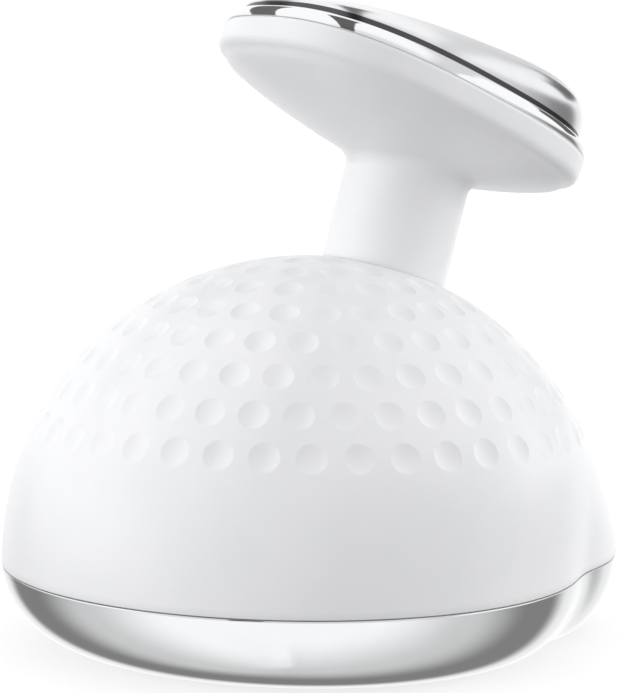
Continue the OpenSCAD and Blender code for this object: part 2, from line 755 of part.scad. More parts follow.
// Depth of the underside below the rim at a place in the grip frame
function under_depth(x, y) =
  let (f = pow(pow(abs(2 * x / grip_w), grip_m) + pow(abs(2 * y / grip_l), grip_m), 1 / grip_m))
  shell_side + (shell_h - shell_side) * slope(min(1, f));

// Height along the neck at which a line parallel to it meets the underside, by repeated steps
function under_s(a, r, steps = 4) =
  let (s = steps == 0 ? -foot_z : under_s(a, r, steps - 1),
    y = foot_y + r * sin(a) * cos(lean_gap) - s * sin(lean_gap))
  (-under_depth(r * cos(a), y) - foot_z - r * sin(a) * sin(lean_gap)) / cos(lean_gap);
fillet_sink = 0.15;
function fillet_ring(n, q, extra) = [for (i = [0 : n - 1])
  let (a = 360 * i / n, r = neck_r - fillet_sink + (neck_fillet + fillet_sink) * (1 - cos(q)))
  [r * cos(a), r * sin(a), under_s(a, r) - neck_fillet + (neck_fillet + fillet_sink) * sin(q) + extra]];

module fillet_body() {
  n = 48;
  loft(concat([for (q = [0 : 18 : 90]) fillet_ring(n, q, 0)], [fillet_ring(n, 90, 1)]));
}

control_post_r = 2.4;
control_x = 13;
control_front = 15.5;
post_foot = under_depth(control_x + control_post_r, control_front) - grip_wall / 3;
module at_control_posts() {
  for (x = [-1, 1], y = [-1, 1]) translate([x * control_x, y * control_front, 0]) children();
}

module handle_shell() {
  neck_top_s = under_s(0, 0) + 1;
  color(white) difference() {
    union() {
      difference() {
        union() {
          at_grip() bowl(grip_seg, 0, 9);
          at_neck() fillet_body();
        }
        at_grip() bowl(inner_seg, grip_wall, 6);
      }
      at_neck() translate([0, 0, boss_foot_s])
        cylinder(h = neck_top_s - boss_foot_s, r = neck_r, $fn = 72);
      at_cover() for (x = [-1, 1], y = [-control_front, control_front])
        let (l = (post_foot + trim_h + cover_rise + y * sin(wedge_a)) / cos(wedge_a) - board_drop - board_t)
          translate([x * control_x, y, -board_drop - board_t - l])
            cylinder(h = l, r = control_post_r, $fn = 24);
    }
    at_neck() translate([0, 0, boss_foot_s + neck_end_h]) cylinder(h = grip_rise, r = neck_r - neck_wall, $fn = fine);
    at_neck() translate([0, 0, boss_foot_s - 1]) cylinder(h = neck_end_h + 2, r = lead_r + 2.4, $fn = fine);
    at_neck() for (a = neck_screws_at) rotate([0, 0, a]) translate([neck_screw_at, 0, boss_foot_s])
      rotate([180, 0, 0]) screw_hole(4);
    at_cover() at_control_posts() translate([0, 0, -board_drop - board_t]) screw_hole(7);
  }
}

// Trim band: steep at the rim and drawn in towards the cover
trim_bottom = 3.6;
module trim_ring() {
  color(chrome) at_grip() difference() {
    loft([for (q = [0 : 30 : 90]) lift(grip_outline(outer_seg, trim_in * (1 - cos(q))), trim_h * sin(q), 0, 0)]);
    translate([0, 0, -1]) linear_extrude(trim_h + 2) grip_2d(trim_bottom);
  }
}

// Cover frame: Z is square to the sloping top of the cover
wedge_a = atan(cover_wedge / (grip_l / 2));
module at_cover() {
  at_grip() translate([0, 0, trim_h + cover_rise]) rotate([wedge_a, 0, 0]) children();
}

// How far the cover's surface lies under its top, at distance y to the front or rear
function cover_drop(y) =
  (1 - belly(abs(y) / (grip_l / 2 - trim_in), cover_k)) * (cover_rise + cover_wedge * y / (grip_l / 2));

button_y = [0, button_gap, -button_gap];
button_radii = [power_r, small_r, small_r];
pipe_y = -button_gap - 7.5;
pipe_r = 1.1;
pipe_x = [-5, 0, 5];

module top_cover() {
  lip_h = 3.2;
  color(chrome) difference() {
    union() {
      at_grip() difference() {
        loft(pebble(grip_seg, trim_in, trim_h, cover_rise, cover_wedge, 10, cover_k));
        loft(concat([lift(grip_outline(inner_seg, trim_in + grip_wall), trim_h - 1, 0, 0)],
          pebble(inner_seg, trim_in + grip_wall, trim_h, cover_rise - grip_wall, cover_wedge, 7, cover_k)));
      }
      at_grip() translate([0, 0, trim_h + 0.6 - lip_h]) linear_extrude(lip_h) difference() {
        grip_2d(trim_bottom + fit);
        grip_2d(trim_bottom + 1.5, inner_seg);
      }
    }
    at_cover() for (i = [0 : 2]) translate([0, button_y[i], -6])
      cylinder(h = 12, r = button_radii[i] + button_clear, $fn = fine);
    at_cover() for (x = pipe_x) translate([x, pipe_y, -6]) cylinder(h = 12, r = pipe_r + tight, $fn = 24);
  }
}

// Push button: cap, hidden flange and the stem over its switch
flange_t = 1;
flange_gap = 0.35;
switch_top = 2.4;
module button(i, tone) {
  r = button_radii[i];
  y = button_y[i];
  top = 0.5 - cover_drop(y);
  under = -cover_drop(y) - grip_wall - flange_gap;
  foot = -board_drop + switch_top + button_travel + 0.1;
  soft = 0.4;
  color(tone) at_cover() translate([0, y, 0]) rotate_extrude($fn = fine)
    polygon(concat([[0, foot], [1.5, foot], [1.5, under - flange_t], [r + 1.1, under - flange_t],
      [r + 1.1, under], [r, under]],
      [for (q = [0 : 30 : 90]) [r - soft + soft * cos(q), top - soft + soft * sin(q)]],
      [[r * 0.55, top], [0, top - 0.25]]));
}

module power_button() button(0, [0.9, 0.9, 0.92]);
module mode_button() button(1, [0.9, 0.9, 0.92]);
module level_button() button(2, [0.9, 0.9, 0.92]);

module indicator_pipe() {
  z = -cover_drop(pipe_y);
  color([0.9, 0.95, 1, 0.7]) at_cover() {
    for (x = pipe_x) translate([x, pipe_y, z - 4]) cylinder(h = 4.1, r = pipe_r, $fn = 24);
    translate([-6.5, pipe_y - 1.5, z - 5]) cube([13, 3, 1.2]);
    translate([-1, pipe_y - 1, -board_drop]) cube([2, 2, board_drop + z - 5 + eps]);
  }
}

// Control board with one switch under each button and the connector for the lead
board_x = 32;
board_y = 44;
board_s = (grip_y - neck_y) * sin(neck_lean) + (grip_z - neck_z) * cos(neck_lean)
  + (trim_h + cover_rise) * cos(lean_gap) - board_drop - board_t;
lead_top_s = board_s - 4;

module control_board() {
  corner = 6;
  color(board_green) difference() {
    union() {
      at_cover() translate([0, 0, -board_drop - board_t]) {
        translate([-board_x / 2 + corner, -board_y / 2, 0]) cube([board_x - 2 * corner, board_y, board_t]);
        translate([-board_x / 2, -board_y / 2 + corner, 0]) cube([board_x, board_y - 2 * corner, board_t]);
        for (x = [-1, 1], y = [-1, 1])
          translate([x * (board_x / 2 - corner), y * (board_y / 2 - corner), 0])
            cylinder(h = board_t, r = corner, $fn = fine);
      }
      at_cover() for (y = button_y) translate([0, y, -board_drop - eps]) {
        translate([-3, -3, 0]) cube([6, 6, 1.8]);
        cylinder(h = switch_top, r = 1.6, $fn = 24);
      }
      at_neck() translate([-4, -3, lead_top_s]) cube([8, 6, 4.2]);
    }
    at_cover() at_control_posts() translate([0, 0, -board_drop]) screw_hole(board_t + 1);
  }
}

module control_screws() {
  color(steel) at_cover() at_control_posts() translate([0, 0, -board_drop]) screw(board_t + 5);
}

base_pan();
base_screws();
treatment_plate();
center_probe();
light_ring();
electrode_1();
electrode_2();
electrode_3();
electrode_4();
contact_pins();
head_board();
head_screws();
plate_screws();
transducer();
seam_gasket();
chassis();
chassis_screws();
battery();
battery_clamp();
motor_body();
motor_rotor();
motor_clamp();
clamp_screws();
main_board();
board_screws();
charge_socket();
dome_shell();
neck_plate();
neck_screws();
harness();
handle_shell();
trim_ring();
top_cover();
control_board();
control_screws();
power_button();
mode_button();
level_button();
indicator_pipe();
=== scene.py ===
"""Body slimming massager: dimpled white dome, bright lobed base, leaning neck and pebble grip.

The shells that show are made here from the same sizes as the solid model, and the studio is set up
round them.
"""

import math

import bmesh
import bpy
import numpy as np
from mathutils import Matrix, Vector
from mathutils.geometry import delaunay_2d_cdt


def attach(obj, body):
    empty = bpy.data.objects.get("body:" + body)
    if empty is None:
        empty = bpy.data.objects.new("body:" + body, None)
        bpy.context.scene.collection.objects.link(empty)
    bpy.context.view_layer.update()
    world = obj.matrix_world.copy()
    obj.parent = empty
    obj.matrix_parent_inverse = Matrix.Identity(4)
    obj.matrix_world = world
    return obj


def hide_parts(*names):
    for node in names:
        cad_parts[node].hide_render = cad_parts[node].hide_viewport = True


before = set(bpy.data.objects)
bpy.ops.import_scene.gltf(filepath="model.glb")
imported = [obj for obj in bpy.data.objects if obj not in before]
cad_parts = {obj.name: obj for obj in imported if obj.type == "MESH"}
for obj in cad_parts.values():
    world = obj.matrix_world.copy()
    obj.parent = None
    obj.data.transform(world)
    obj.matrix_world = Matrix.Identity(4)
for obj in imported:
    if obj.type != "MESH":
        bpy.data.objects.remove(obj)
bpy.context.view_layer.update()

# A millimetre in metres, and a radian in degrees
MM, RADIAN = 0.001, 180 / math.pi

# Sizes in millimetres and angles in degrees, as the solid model has them.
# Outline of the seam: two lobes that run together in a waist
FRONT_R, REAR_R, LOBE_GAP, WAIST_K = 53.0, 35.6, 31.4, 27.0
# Chrome base: its heights, how far it tucks in towards the foot, its walls and what opens it
SEAM_Z, FOOT_Z, FLOOR_Z, STEP_Z = 15.0, 0.6, 3.1, 7.6
TUCK_FRONT, TUCK_REAR, BASE_K = 15.5, 9.8, 1.8
PAN_WALL, LIP_WALL, RIM_ROUND = 2.2, 4.5, 0.4
PLATE_R, PLATE_GAP, PAD_AT = 28.5, 0.1, 20.6
# Recesses of the base screws: distance and angle from their lobe's middle, and 1 for the rear lobe
SCREW_R, SCREW_SINK = 2.1, 1.8
SCREWS = [(34.8, a, 0) for a in (20, 160, 222, 318)] + [(19.0, a, 1) for a in (40, 140)]
# White dome and its opening for the charging socket
CROWN_R, CROWN_BACK, FADE_H, DOME_WALL = 56.2, 3.2, 30.0, 2.4
SOCKET_W, SOCKET_H, SOCKET_RISE, SOCKET_GAP = 9.0, 3.3, 6.2, 0.8
# Dimples: how many each row has, and how far it is turned in shares of one pitch
DIMPLE_D, DIMPLE_DEPTH, DIMPLE_LAT, DIMPLE_STEP, DIMPLE_KEEP = 5.4, 0.5, 28.0, 7.95, 1.2
DIMPLE_ROWS = ((39, 0.0), (37, 0.4), (33, 0.32), (29, 0.24),
               (25, 0.15), (18, 0.2), (12, 0.4), (6, 0.5))
# Neck and grip, which lean about the X axis
NECK_LEAN, NECK_R, NECK_WALL, NECK_Y, NECK_Z = 16.0, 11.7, 2.5, 11.7, 65.0
GRIP_L, GRIP_W, GRIP_M, GRIP_TILT, GRIP_Y, GRIP_Z = 71.6, 55.2, 2.6, 22.8, 16.9, 100.7
SHELL_H, SHELL_SIDE, GRIP_WALL, UNDER_K, UNDER_EDGE = 15.6, 2.9, 2.2, 3.0, 0.36
TRIM_H, TRIM_IN, TRIM_BOTTOM = 2.8, 2.2, 3.6
COVER_RISE, COVER_WEDGE, COVER_K = 8.6, 4.6, 3.3
BUTTONS = ((0.0, 4.5), (11.5, 3.5), (-11.5, 3.5))
BUTTON_GAP, PIPE_R, PIPE_GAP, PIPE_Y, PIPE_X = 0.3, 1.1, 0.05, -19.0, (-5.0, 0.0, 5.0)

# Finer than the solid model: the fillet at the neck's top, the room round its foot, and the crisp
# line where the grip's wall meets its underside (its depth, and its place and width in shares)
NECK_FILLET, NECK_GAP = 1.9, 0.22
CREASE, CREASE_AT, CREASE_WIDTH = 0.3, 0.955, 0.022

# Net of the dome's skin: where it begins, points on its rim, pitch of its points, and the rings of
# points about each dimple (share of the dimple's radius, count)
NET_LAT, NET_RIM, NET_PITCH, NET_ROW, NET_CLEAR = 24.0, 300, 1.7, 0.87, 1.42
DIMPLE_NET = ((0.2, 7), (0.42, 14), (0.64, 22), (0.82, 32), (0.94, 40), (1.0, 40), (1.05, 40),
              (1.2, 24))
FINE_RING = 32

FRONT_Y = (FRONT_R - REAR_R - LOBE_GAP) / 2
REAR_Y = FRONT_Y + LOBE_GAP
AXIS_Y = FRONT_Y + CROWN_BACK
WEDGE_A = math.degrees(math.atan(COVER_WEDGE / (GRIP_L / 2)))


def leaning(degrees, at):
    """The frame of a part that stands at a place and leans about the X axis."""
    return Matrix.Translation(Vector(at)) @ Matrix.Rotation(math.radians(degrees), 4, "X")


AT_NECK = leaning(-NECK_LEAN, (0, NECK_Y, NECK_Z))
AT_GRIP = leaning(-GRIP_TILT, (0, GRIP_Y, GRIP_Z))
AT_COVER = AT_GRIP @ leaning(WEDGE_A, (0, 0, TRIM_H + COVER_RISE))


def placed(points, at):
    """Points of a part's own frame, put where the part stands."""
    m = np.array(at)
    return points @ m[:3, :3].T + m[:3, 3]


def lobe(a, r, y):
    """Distance from the crown's axis to a lobe's circle, in direction a."""
    dy = AXIS_Y - y
    b = dy * np.sin(a)
    return np.sqrt(b * b - dy * dy + r * r) - b


def plan(a, inset=0.0):
    """Outline of the seam: a large front lobe and a small rear lobe with a soft waist between."""
    front, rear = lobe(a, FRONT_R, FRONT_Y), lobe(a, REAR_R, REAR_Y)
    m = np.maximum(front, rear)
    return m * ((front / m) ** WAIST_K + (rear / m) ** WAIST_K) ** (1 / WAIST_K) - inset


def dome_radius(a, h, inset=0.0):
    """Radius of the dome at height h over the seam: the seam's outline turns into a round crown."""
    crown = CROWN_R - inset
    share = np.sqrt(np.maximum(0.0, 1 - (h / crown) ** 2))
    w = np.sin(math.pi / 2 * min(1.0, h / FADE_H)) ** 2
    return share * ((1 - w) * plan(a, inset) + w * crown)


def tuck(a):
    """How far the base draws in towards its foot, in direction a."""
    return (TUCK_FRONT + TUCK_REAR) / 2 - (TUCK_FRONT - TUCK_REAR) / 2 * np.sin(a)


def pan_radius(a, z, wall=0.0):
    """Radius of the chrome base at height z."""
    q = min(1.0, max(0.0, (z - FOOT_Z) / (SEAM_Z - FOOT_Z)))
    return plan(a, tuck(a) * (1 - (1 - (1 - q) ** BASE_K) ** (1 / BASE_K)) + wall)


def round_ring(n, radius, z, turn=0.0):
    """A ring of points about the crown's axis, its radius worked out for each direction."""
    a = np.arange(n) * 2 * math.pi / n + turn
    r = radius(a)
    return np.stack([r * np.cos(a), AXIS_Y + r * np.sin(a), np.full(n, float(z))], 1)


def belly(f, k):
    """Height of a full round side, from 1 in the middle to 0 at the rim."""
    return (1 - np.minimum(1.0, f) ** k) ** (1 / k)


def grip_reach(a, inset=0.0):
    """Radius of the grip's outline in direction a."""
    c = np.abs(np.cos(a)) / (GRIP_W / 2 - inset)
    s = np.abs(np.sin(a)) / (GRIP_L / 2 - inset)
    return (c ** GRIP_M + s ** GRIP_M) ** (-1 / GRIP_M)


def grip_share(x, y):
    """How far out a point lies in the grip's outline: 0 in the middle, 1 at the rim."""
    return (np.abs(2 * x / GRIP_W) ** GRIP_M + np.abs(2 * y / GRIP_L) ** GRIP_M) ** (1 / GRIP_M)


def grip_ring(n, inset, z, share=1.0, wedge=0.0):
    """A ring of the grip in the grip's frame; wedge lifts its rear."""
    a = np.arange(n) * 2 * math.pi / n
    r = share * grip_reach(a, inset)
    x, y = r * np.cos(a), r * np.sin(a)
    return np.stack([x, y, z + wedge * y / (GRIP_L / 2)], 1)


def ring_faces(sizes, closed=False):
    """Faces between rings of points.

    A ring may have half as many points as the ring before or after it, or be a single pole.
    """
    faces, starts = [], np.concatenate([[0], np.cumsum(sizes)]).tolist()
    pairs = [(k, k + 1) for k in range(len(sizes) - 1)] + ([(len(sizes) - 1, 0)] if closed else [])
    for lo, hi in pairs:
        n, m, p, q = sizes[lo], sizes[hi], starts[lo], starts[hi]
        if m == n:
            faces += [(p + i, p + (i + 1) % n, q + (i + 1) % n, q + i) for i in range(n)]
        elif m == 1:
            faces += [(p + i, p + (i + 1) % n, q) for i in range(n)]
        elif n == 1:
            faces += [(p, q + (i + 1) % m, q + i) for i in range(m)]
        elif n == 2 * m:
            for j in range(m):
                a, b, c = p + 2 * j, p + 2 * j + 1, p + (2 * j + 2) % n
                d, e = q + j, q + (j + 1) % m
                faces += [(a, b, d), (b, c, e), (b, e, d)]
        else:
            for j in range(n):
                a, b, c = q + 2 * j, q + 2 * j + 1, q + (2 * j + 2) % m
                d, e = p + j, p + (j + 1) % n
                faces += [(b, a, d), (c, b, e), (e, b, d)]
    return faces


def new_piece(name, points, faces, smooth=True):
    """A mesh object from points in millimetres."""
    mesh = bpy.data.meshes.new(name)
    mesh.from_pydata((np.asarray(points) * MM).tolist(), [], faces)
    mesh.validate()
    if smooth:
        mesh.shade_smooth()
    made = bpy.data.objects.new(name, mesh)
    bpy.context.scene.collection.objects.link(made)
    return made


def face_outwards(piece):
    """Closes the seams of a piece and turns its faces outwards."""
    work = bmesh.new()
    work.from_mesh(piece.data)
    bmesh.ops.remove_doubles(work, verts=work.verts, dist=1e-7)
    bmesh.ops.recalc_face_normals(work, faces=work.faces)
    if work.calc_volume(signed=True) < 0:
        bmesh.ops.reverse_faces(work, faces=work.faces)
    work.to_mesh(piece.data)
    work.free()


def shell_of_rings(name, rings, closed=False):
    """A piece through a stack of rings, with its faces turned outwards."""
    made = new_piece(name, np.concatenate(rings), ring_faces([len(r) for r in rings], closed))
    face_outwards(made)
    return made


def plain_mesh(piece):
    """Runs the modifiers of a piece into its own mesh and takes them off."""
    seen = piece.evaluated_get(bpy.context.evaluated_depsgraph_get())
    done = bpy.data.meshes.new_from_object(seen)
    old = piece.data
    piece.modifiers.clear()
    piece.data = done
    bpy.data.meshes.remove(old)
    done.name = piece.name
    return piece


def rod(n, r, z0, z1, at=None, x=0.0, y=0.0):
    """Points and faces of a plain round rod, used as a cutter."""
    a = np.arange(n) * 2 * math.pi / n
    foot = np.stack([x + r * np.cos(a), y + r * np.sin(a), np.full(n, z0)], 1)
    points = np.concatenate([foot, foot + [0, 0, z1 - z0]])
    faces = [tuple(range(n - 1, -1, -1)), tuple(range(n, 2 * n))]
    faces += [(i, (i + 1) % n, n + (i + 1) % n, n + i) for i in range(n)]
    return placed(points, at) if at is not None else points, faces


def slot_block(w, h, y0, y1, z, n=12):
    """Points and faces of a long rounded bar along Y, used as a cutter."""
    a = np.linspace(-math.pi / 2, math.pi / 2, n)
    half = np.stack([w / 2 - h / 2 + h / 2 * np.cos(a), z + h / 2 * np.sin(a)], 1)
    rim = np.concatenate([half, half[::-1] * [-1, 1]])
    count = len(rim)
    front = np.stack([rim[:, 0], np.full(count, y0), rim[:, 1]], 1)
    points = np.concatenate([front, front + [0, y1 - y0, 0]])
    faces = [tuple(range(count)), tuple(range(2 * count - 1, count - 1, -1))]
    faces += [(i, count + i, count + (i + 1) % count, (i + 1) % count) for i in range(count)]
    return points, faces


def cut(piece, *cutters):
    """Takes the cutters out of the piece."""
    points, faces, start = [], [], 0
    for p, f in cutters:
        points.append(p)
        faces += [tuple(start + i for i in face) for face in f]
        start += len(p)
    tool = new_piece("cutter", np.concatenate(points), faces, smooth=False)
    face_outwards(tool)
    change = piece.modifiers.new("cut", "BOOLEAN")
    change.operation, change.solver, change.object = "DIFFERENCE", "EXACT", tool
    plain_mesh(piece)
    bpy.data.objects.remove(tool)
    return piece


def crisp(piece, degrees):
    """Keeps edges steeper than this angle sharp under smooth shading."""
    piece.data.shade_smooth()
    piece.data.set_sharp_from_angle(angle=math.radians(degrees))
    return piece


def dimple_places():
    """Centres of the dimples in their rows, away from the neck, each with the way that it faces."""
    lean = math.radians(NECK_LEAN)
    axis = np.array([0, math.sin(lean), math.cos(lean)])
    places, facing = [], []
    for row, (count, phase) in enumerate(DIMPLE_ROWS):
        lat = math.radians(DIMPLE_LAT + row * DIMPLE_STEP)
        h = CROWN_R * math.sin(lat)
        for i in range(count):
            a = 2 * math.pi * (i + phase) / count - math.pi / 2
            r = float(dome_radius(np.array([a]), h)[0])
            p = np.array([r * math.cos(a), AXIS_Y + r * math.sin(a), SEAM_Z + h])
            off_neck = np.linalg.norm(np.cross(p - [0, NECK_Y, NECK_Z], axis))
            if off_neck > NECK_R + DIMPLE_D / 2 + DIMPLE_KEEP:
                places.append(p)
                facing.append((math.cos(a) * math.cos(lat), math.sin(a) * math.cos(lat),
                               math.sin(lat)))
    return np.array(places), np.array(facing)


def from_crown(points):
    """Points seen from the middle of the seam, and their directions round the crown's axis."""
    away = points - [0, AXIS_Y, SEAM_Z]
    return away, np.arctan2(away[:, 1], away[:, 0])


def onto_dome(points):
    """Points near the dome, set on its surface."""
    away, a = from_crown(points)
    on_crown = away / np.linalg.norm(away, axis=1)[:, None] * CROWN_R
    h = np.where(on_crown[:, 2] > FADE_H, on_crown[:, 2], away[:, 2])
    r = np.array([float(dome_radius(np.array([b]), float(c))[0]) for b, c in zip(a, h)])
    return np.stack([r * np.cos(a), AXIS_Y + r * np.sin(a), SEAM_Z + h], 1)


def laid_flat(points):
    """The dome's points on a flat map round its pole, on which the net is joined up."""
    away, a = from_crown(points)
    lat = np.arcsin(np.clip(away[:, 2] / CROWN_R, 0, 1))
    reach = np.tan((math.pi / 2 - lat) / 2)
    return [Vector((x, y)) for x, y in zip(reach * np.cos(a), reach * np.sin(a))]


def crown_net():
    """Points and triangles of the crown: rings of points at each dimple, an even net between."""
    places, facing = dimple_places()
    rim = DIMPLE_D / 2
    side = np.cross(facing, [0, 0, 1.0])
    side /= np.linalg.norm(side, axis=1)[:, None]
    rise = np.cross(side, facing)
    spots = [places]
    for share, n in DIMPLE_NET:
        for t in (np.arange(n) + 0.5 * (n < FINE_RING)) * 2 * math.pi / n:
            spots.append(places + share * rim * (math.cos(t) * side + math.sin(t) * rise))
    low = math.radians(NET_LAT)
    rows = np.arange(low + NET_PITCH / CROWN_R, math.pi / 2, NET_PITCH * NET_ROW / CROWN_R)
    net = []
    for row, lat in enumerate(rows):
        n = max(6, int(2 * math.pi * CROWN_R * math.cos(lat) / NET_PITCH))
        h = CROWN_R * math.sin(lat)
        half_pitch = math.pi * (row % 2) / n
        net.append(round_ring(n, lambda a: dome_radius(a, h), SEAM_Z + h, half_pitch))
    net = np.concatenate(net)
    gap = np.min(np.linalg.norm(net[:, None] - places[None], axis=2), axis=1)
    net = onto_dome(net[gap > rim * NET_CLEAR])
    h = CROWN_R * math.sin(low)
    edge = round_ring(NET_RIM, lambda a: dome_radius(a, h), SEAM_Z + h)
    points = np.concatenate([edge, onto_dome(np.concatenate(spots)), net])
    _, _, faces, origin, _, _ = delaunay_2d_cdt(laid_flat(points), [], [], 0, 1e-9)
    index = [o[0] for o in origin]
    return points, [tuple(index[i] for i in face) for face in faces]


class Nodes:
    """Adds nodes to a tree and hands back their sockets."""

    def __init__(self, tree):
        self.tree = tree

    def add(self, kind, settings=None, values=None, out=0):
        """A node of this type, its settings set first, then the values or links of its sockets."""
        node = self.tree.nodes.new(kind)
        for key, value in (settings or {}).items():
            setattr(node, key, value)
        for key, value in (values or {}).items():
            socket = node.inputs[key]
            if isinstance(value, Wire):
                self.tree.links.new(value.socket, socket)
            else:
                socket.default_value = value
        return Wire(self, node.outputs[out]) if len(node.outputs) else node


class Wire:
    """A socket that can be worked with in plain sums."""

    def __init__(self, nodes, socket):
        self.nodes, self.socket = nodes, socket

    def other(self, out):
        """Another output of the same node."""
        return Wire(self.nodes, self.socket.node.outputs[out])

    def sum_of(self, operation, *parts):
        """A Math node on these parts, each a socket or a number."""
        return self.nodes.add("ShaderNodeMath", {"operation": operation}, dict(enumerate(parts)))

    def alone(self, operation):
        """A Math node on this socket alone, such as its sine."""
        return self.sum_of(operation, self)

    def __add__(self, b):
        return self.sum_of("ADD", self, b)

    def __sub__(self, b):
        return self.sum_of("SUBTRACT", self, b)

    def __rsub__(self, b):
        return self.sum_of("SUBTRACT", b, self)

    def __mul__(self, b):
        return self.sum_of("MULTIPLY", self, b)

    def __truediv__(self, b):
        return self.sum_of("DIVIDE", self, b)

    def __rtruediv__(self, b):
        return self.sum_of("DIVIDE", b, self)

    def __pow__(self, b):
        return self.sum_of("POWER", self, b)

    def __rpow__(self, b):
        return self.sum_of("POWER", b, self)

    __radd__, __rmul__ = __add__, __mul__

    def least(self, b):
        """The smaller of the two."""
        return self.sum_of("MINIMUM", self, b)

    def most(self, b):
        """The larger of the two."""
        return self.sum_of("MAXIMUM", self, b)

    def step(self, lo, hi):
        """Runs smoothly from 0 to 1 while this runs from lo to hi."""
        return self.nodes.add("ShaderNodeMapRange", {"interpolation_type": "SMOOTHSTEP"},
                              {0: self, 1: lo, 2: hi, 3: 0.0, 4: 1.0})


def dimple_tree():
    """Geometry nodes that sink round dimples into the surface, deepest at their centres."""
    tree = bpy.data.node_groups.new("dimple_rows", "GeometryNodeTree")
    sockets = tree.interface
    sockets.new_socket("Geometry", in_out="INPUT", socket_type="NodeSocketGeometry")
    for name, kind in (("Centres", "Object"), ("Rim radius", "Float"), ("Depth", "Float"),
                       ("Fullness", "Float"), ("Material", "Material")):
        sockets.new_socket(name, in_out="INPUT", socket_type="NodeSocket" + kind)
    sockets.new_socket("Geometry", in_out="OUTPUT", socket_type="NodeSocketGeometry")
    n = Nodes(tree)
    given = n.add("NodeGroupInput")
    centres = n.add("GeometryNodeObjectInfo", {"transform_space": "ORIGINAL"},
                    {"Object": given.other("Centres")}, "Geometry")
    far = n.add("GeometryNodeProximity", {"target_element": "POINTS"}, {0: centres}, "Distance")
    bowl = 1 - (far / given.other("Rim radius")).least(1.0) ** 2.0
    depth = bowl ** given.other("Fullness") * given.other("Depth")
    inward = n.add("ShaderNodeVectorMath", {"operation": "SCALE"},
                   {0: n.add("GeometryNodeInputNormal"), "Scale": depth * -1.0})
    sunk = n.add("GeometryNodeSetPosition", {}, {"Geometry": given, "Offset": inward})
    smooth = n.add("GeometryNodeSetShadeSmooth", {}, {0: sunk})
    coated = n.add("GeometryNodeSetMaterial", {},
                   {"Geometry": smooth, "Material": given.other("Material")})
    whole = n.add("GeometryNodeRealizeInstances", {}, {0: coated})
    n.add("NodeGroupOutput", {}, {0: whole})
    return tree


def add_tree(piece, tree, **inputs):
    """Puts a node tree on a piece, with its inputs set by their names."""
    change = piece.modifiers.new(tree.name, "NODES")
    change.node_group = tree
    named = {s.name: s.identifier for s in tree.interface.items_tree
             if s.item_type == "SOCKET" and s.in_out == "INPUT"}
    for name, value in inputs.items():
        change[named[name.replace("_", " ").capitalize()]] = value
    return change


def dimpled_crown(material):
    """Points and triangles of the crown with its dimples sunk in."""
    points, faces = crown_net()
    skin = new_piece("dome_skin", points, faces)
    centres = new_piece("dimple_centres", dimple_places()[0], [])
    add_tree(skin, dimple_tree(), Centres=centres, Rim_radius=DIMPLE_D / 2 * MM,
             Depth=DIMPLE_DEPTH * MM, Fullness=1.0, Material=material)
    plain_mesh(skin)
    sunk = np.zeros(len(skin.data.vertices) * 3)
    skin.data.vertices.foreach_get("co", sunk)
    for used in (centres, skin):
        bpy.data.objects.remove(used)
    return sunk.reshape(-1, 3) / MM, faces


def make_dome(material):
    """White shell: lobed skirt, dimpled crown, inner wall, neck hole and socket opening."""
    def level(lat, n, inset=0.0):
        """A ring of the dome's wall at a latitude of its crown."""
        h = (CROWN_R - inset) * math.sin(lat)
        return round_ring(n, lambda a: dome_radius(a, h, inset), SEAM_Z + h)

    def lip(inset, rise):
        """A ring of the rounded lip at the seam."""
        return round_ring(NET_RIM, lambda a: dome_radius(a, 0.0) - inset, SEAM_Z + rise)

    crown, crown_faces = dimpled_crown(material)
    rings = [np.array([[0, AXIS_Y, SEAM_Z + CROWN_R - DOME_WALL]])]
    rings += [level(lat, NET_RIM // 2, DOME_WALL) for lat in np.radians(np.arange(87.0, 1, -6.0))]
    rings.append(round_ring(NET_RIM, lambda a: dome_radius(a, 0.0, DOME_WALL), SEAM_Z + 0.02))
    rings += [lip(0.35, 0.02), lip(0.12, 0.1), lip(0.0, 0.35)]
    rings += [level(lat, NET_RIM) for lat in np.radians(np.linspace(1.5, NET_LAT, 18))]
    sizes = [len(r) for r in rings]
    below = sum(sizes[:-1])
    faces = ring_faces(sizes) + [tuple(below + i for i in face) for face in crown_faces]
    dome = new_piece("dome_moulding", np.concatenate([*rings[:-1], crown]), faces)
    face_outwards(dome)
    socket = slot_block(SOCKET_W + SOCKET_GAP, SOCKET_H + SOCKET_GAP, 50, 70,
                        SEAM_Z + SOCKET_RISE + SOCKET_H / 2)
    cut(dome, rod(96, NECK_R + NECK_GAP, -12, 20, AT_NECK), socket)
    return crisp(dome, 42)


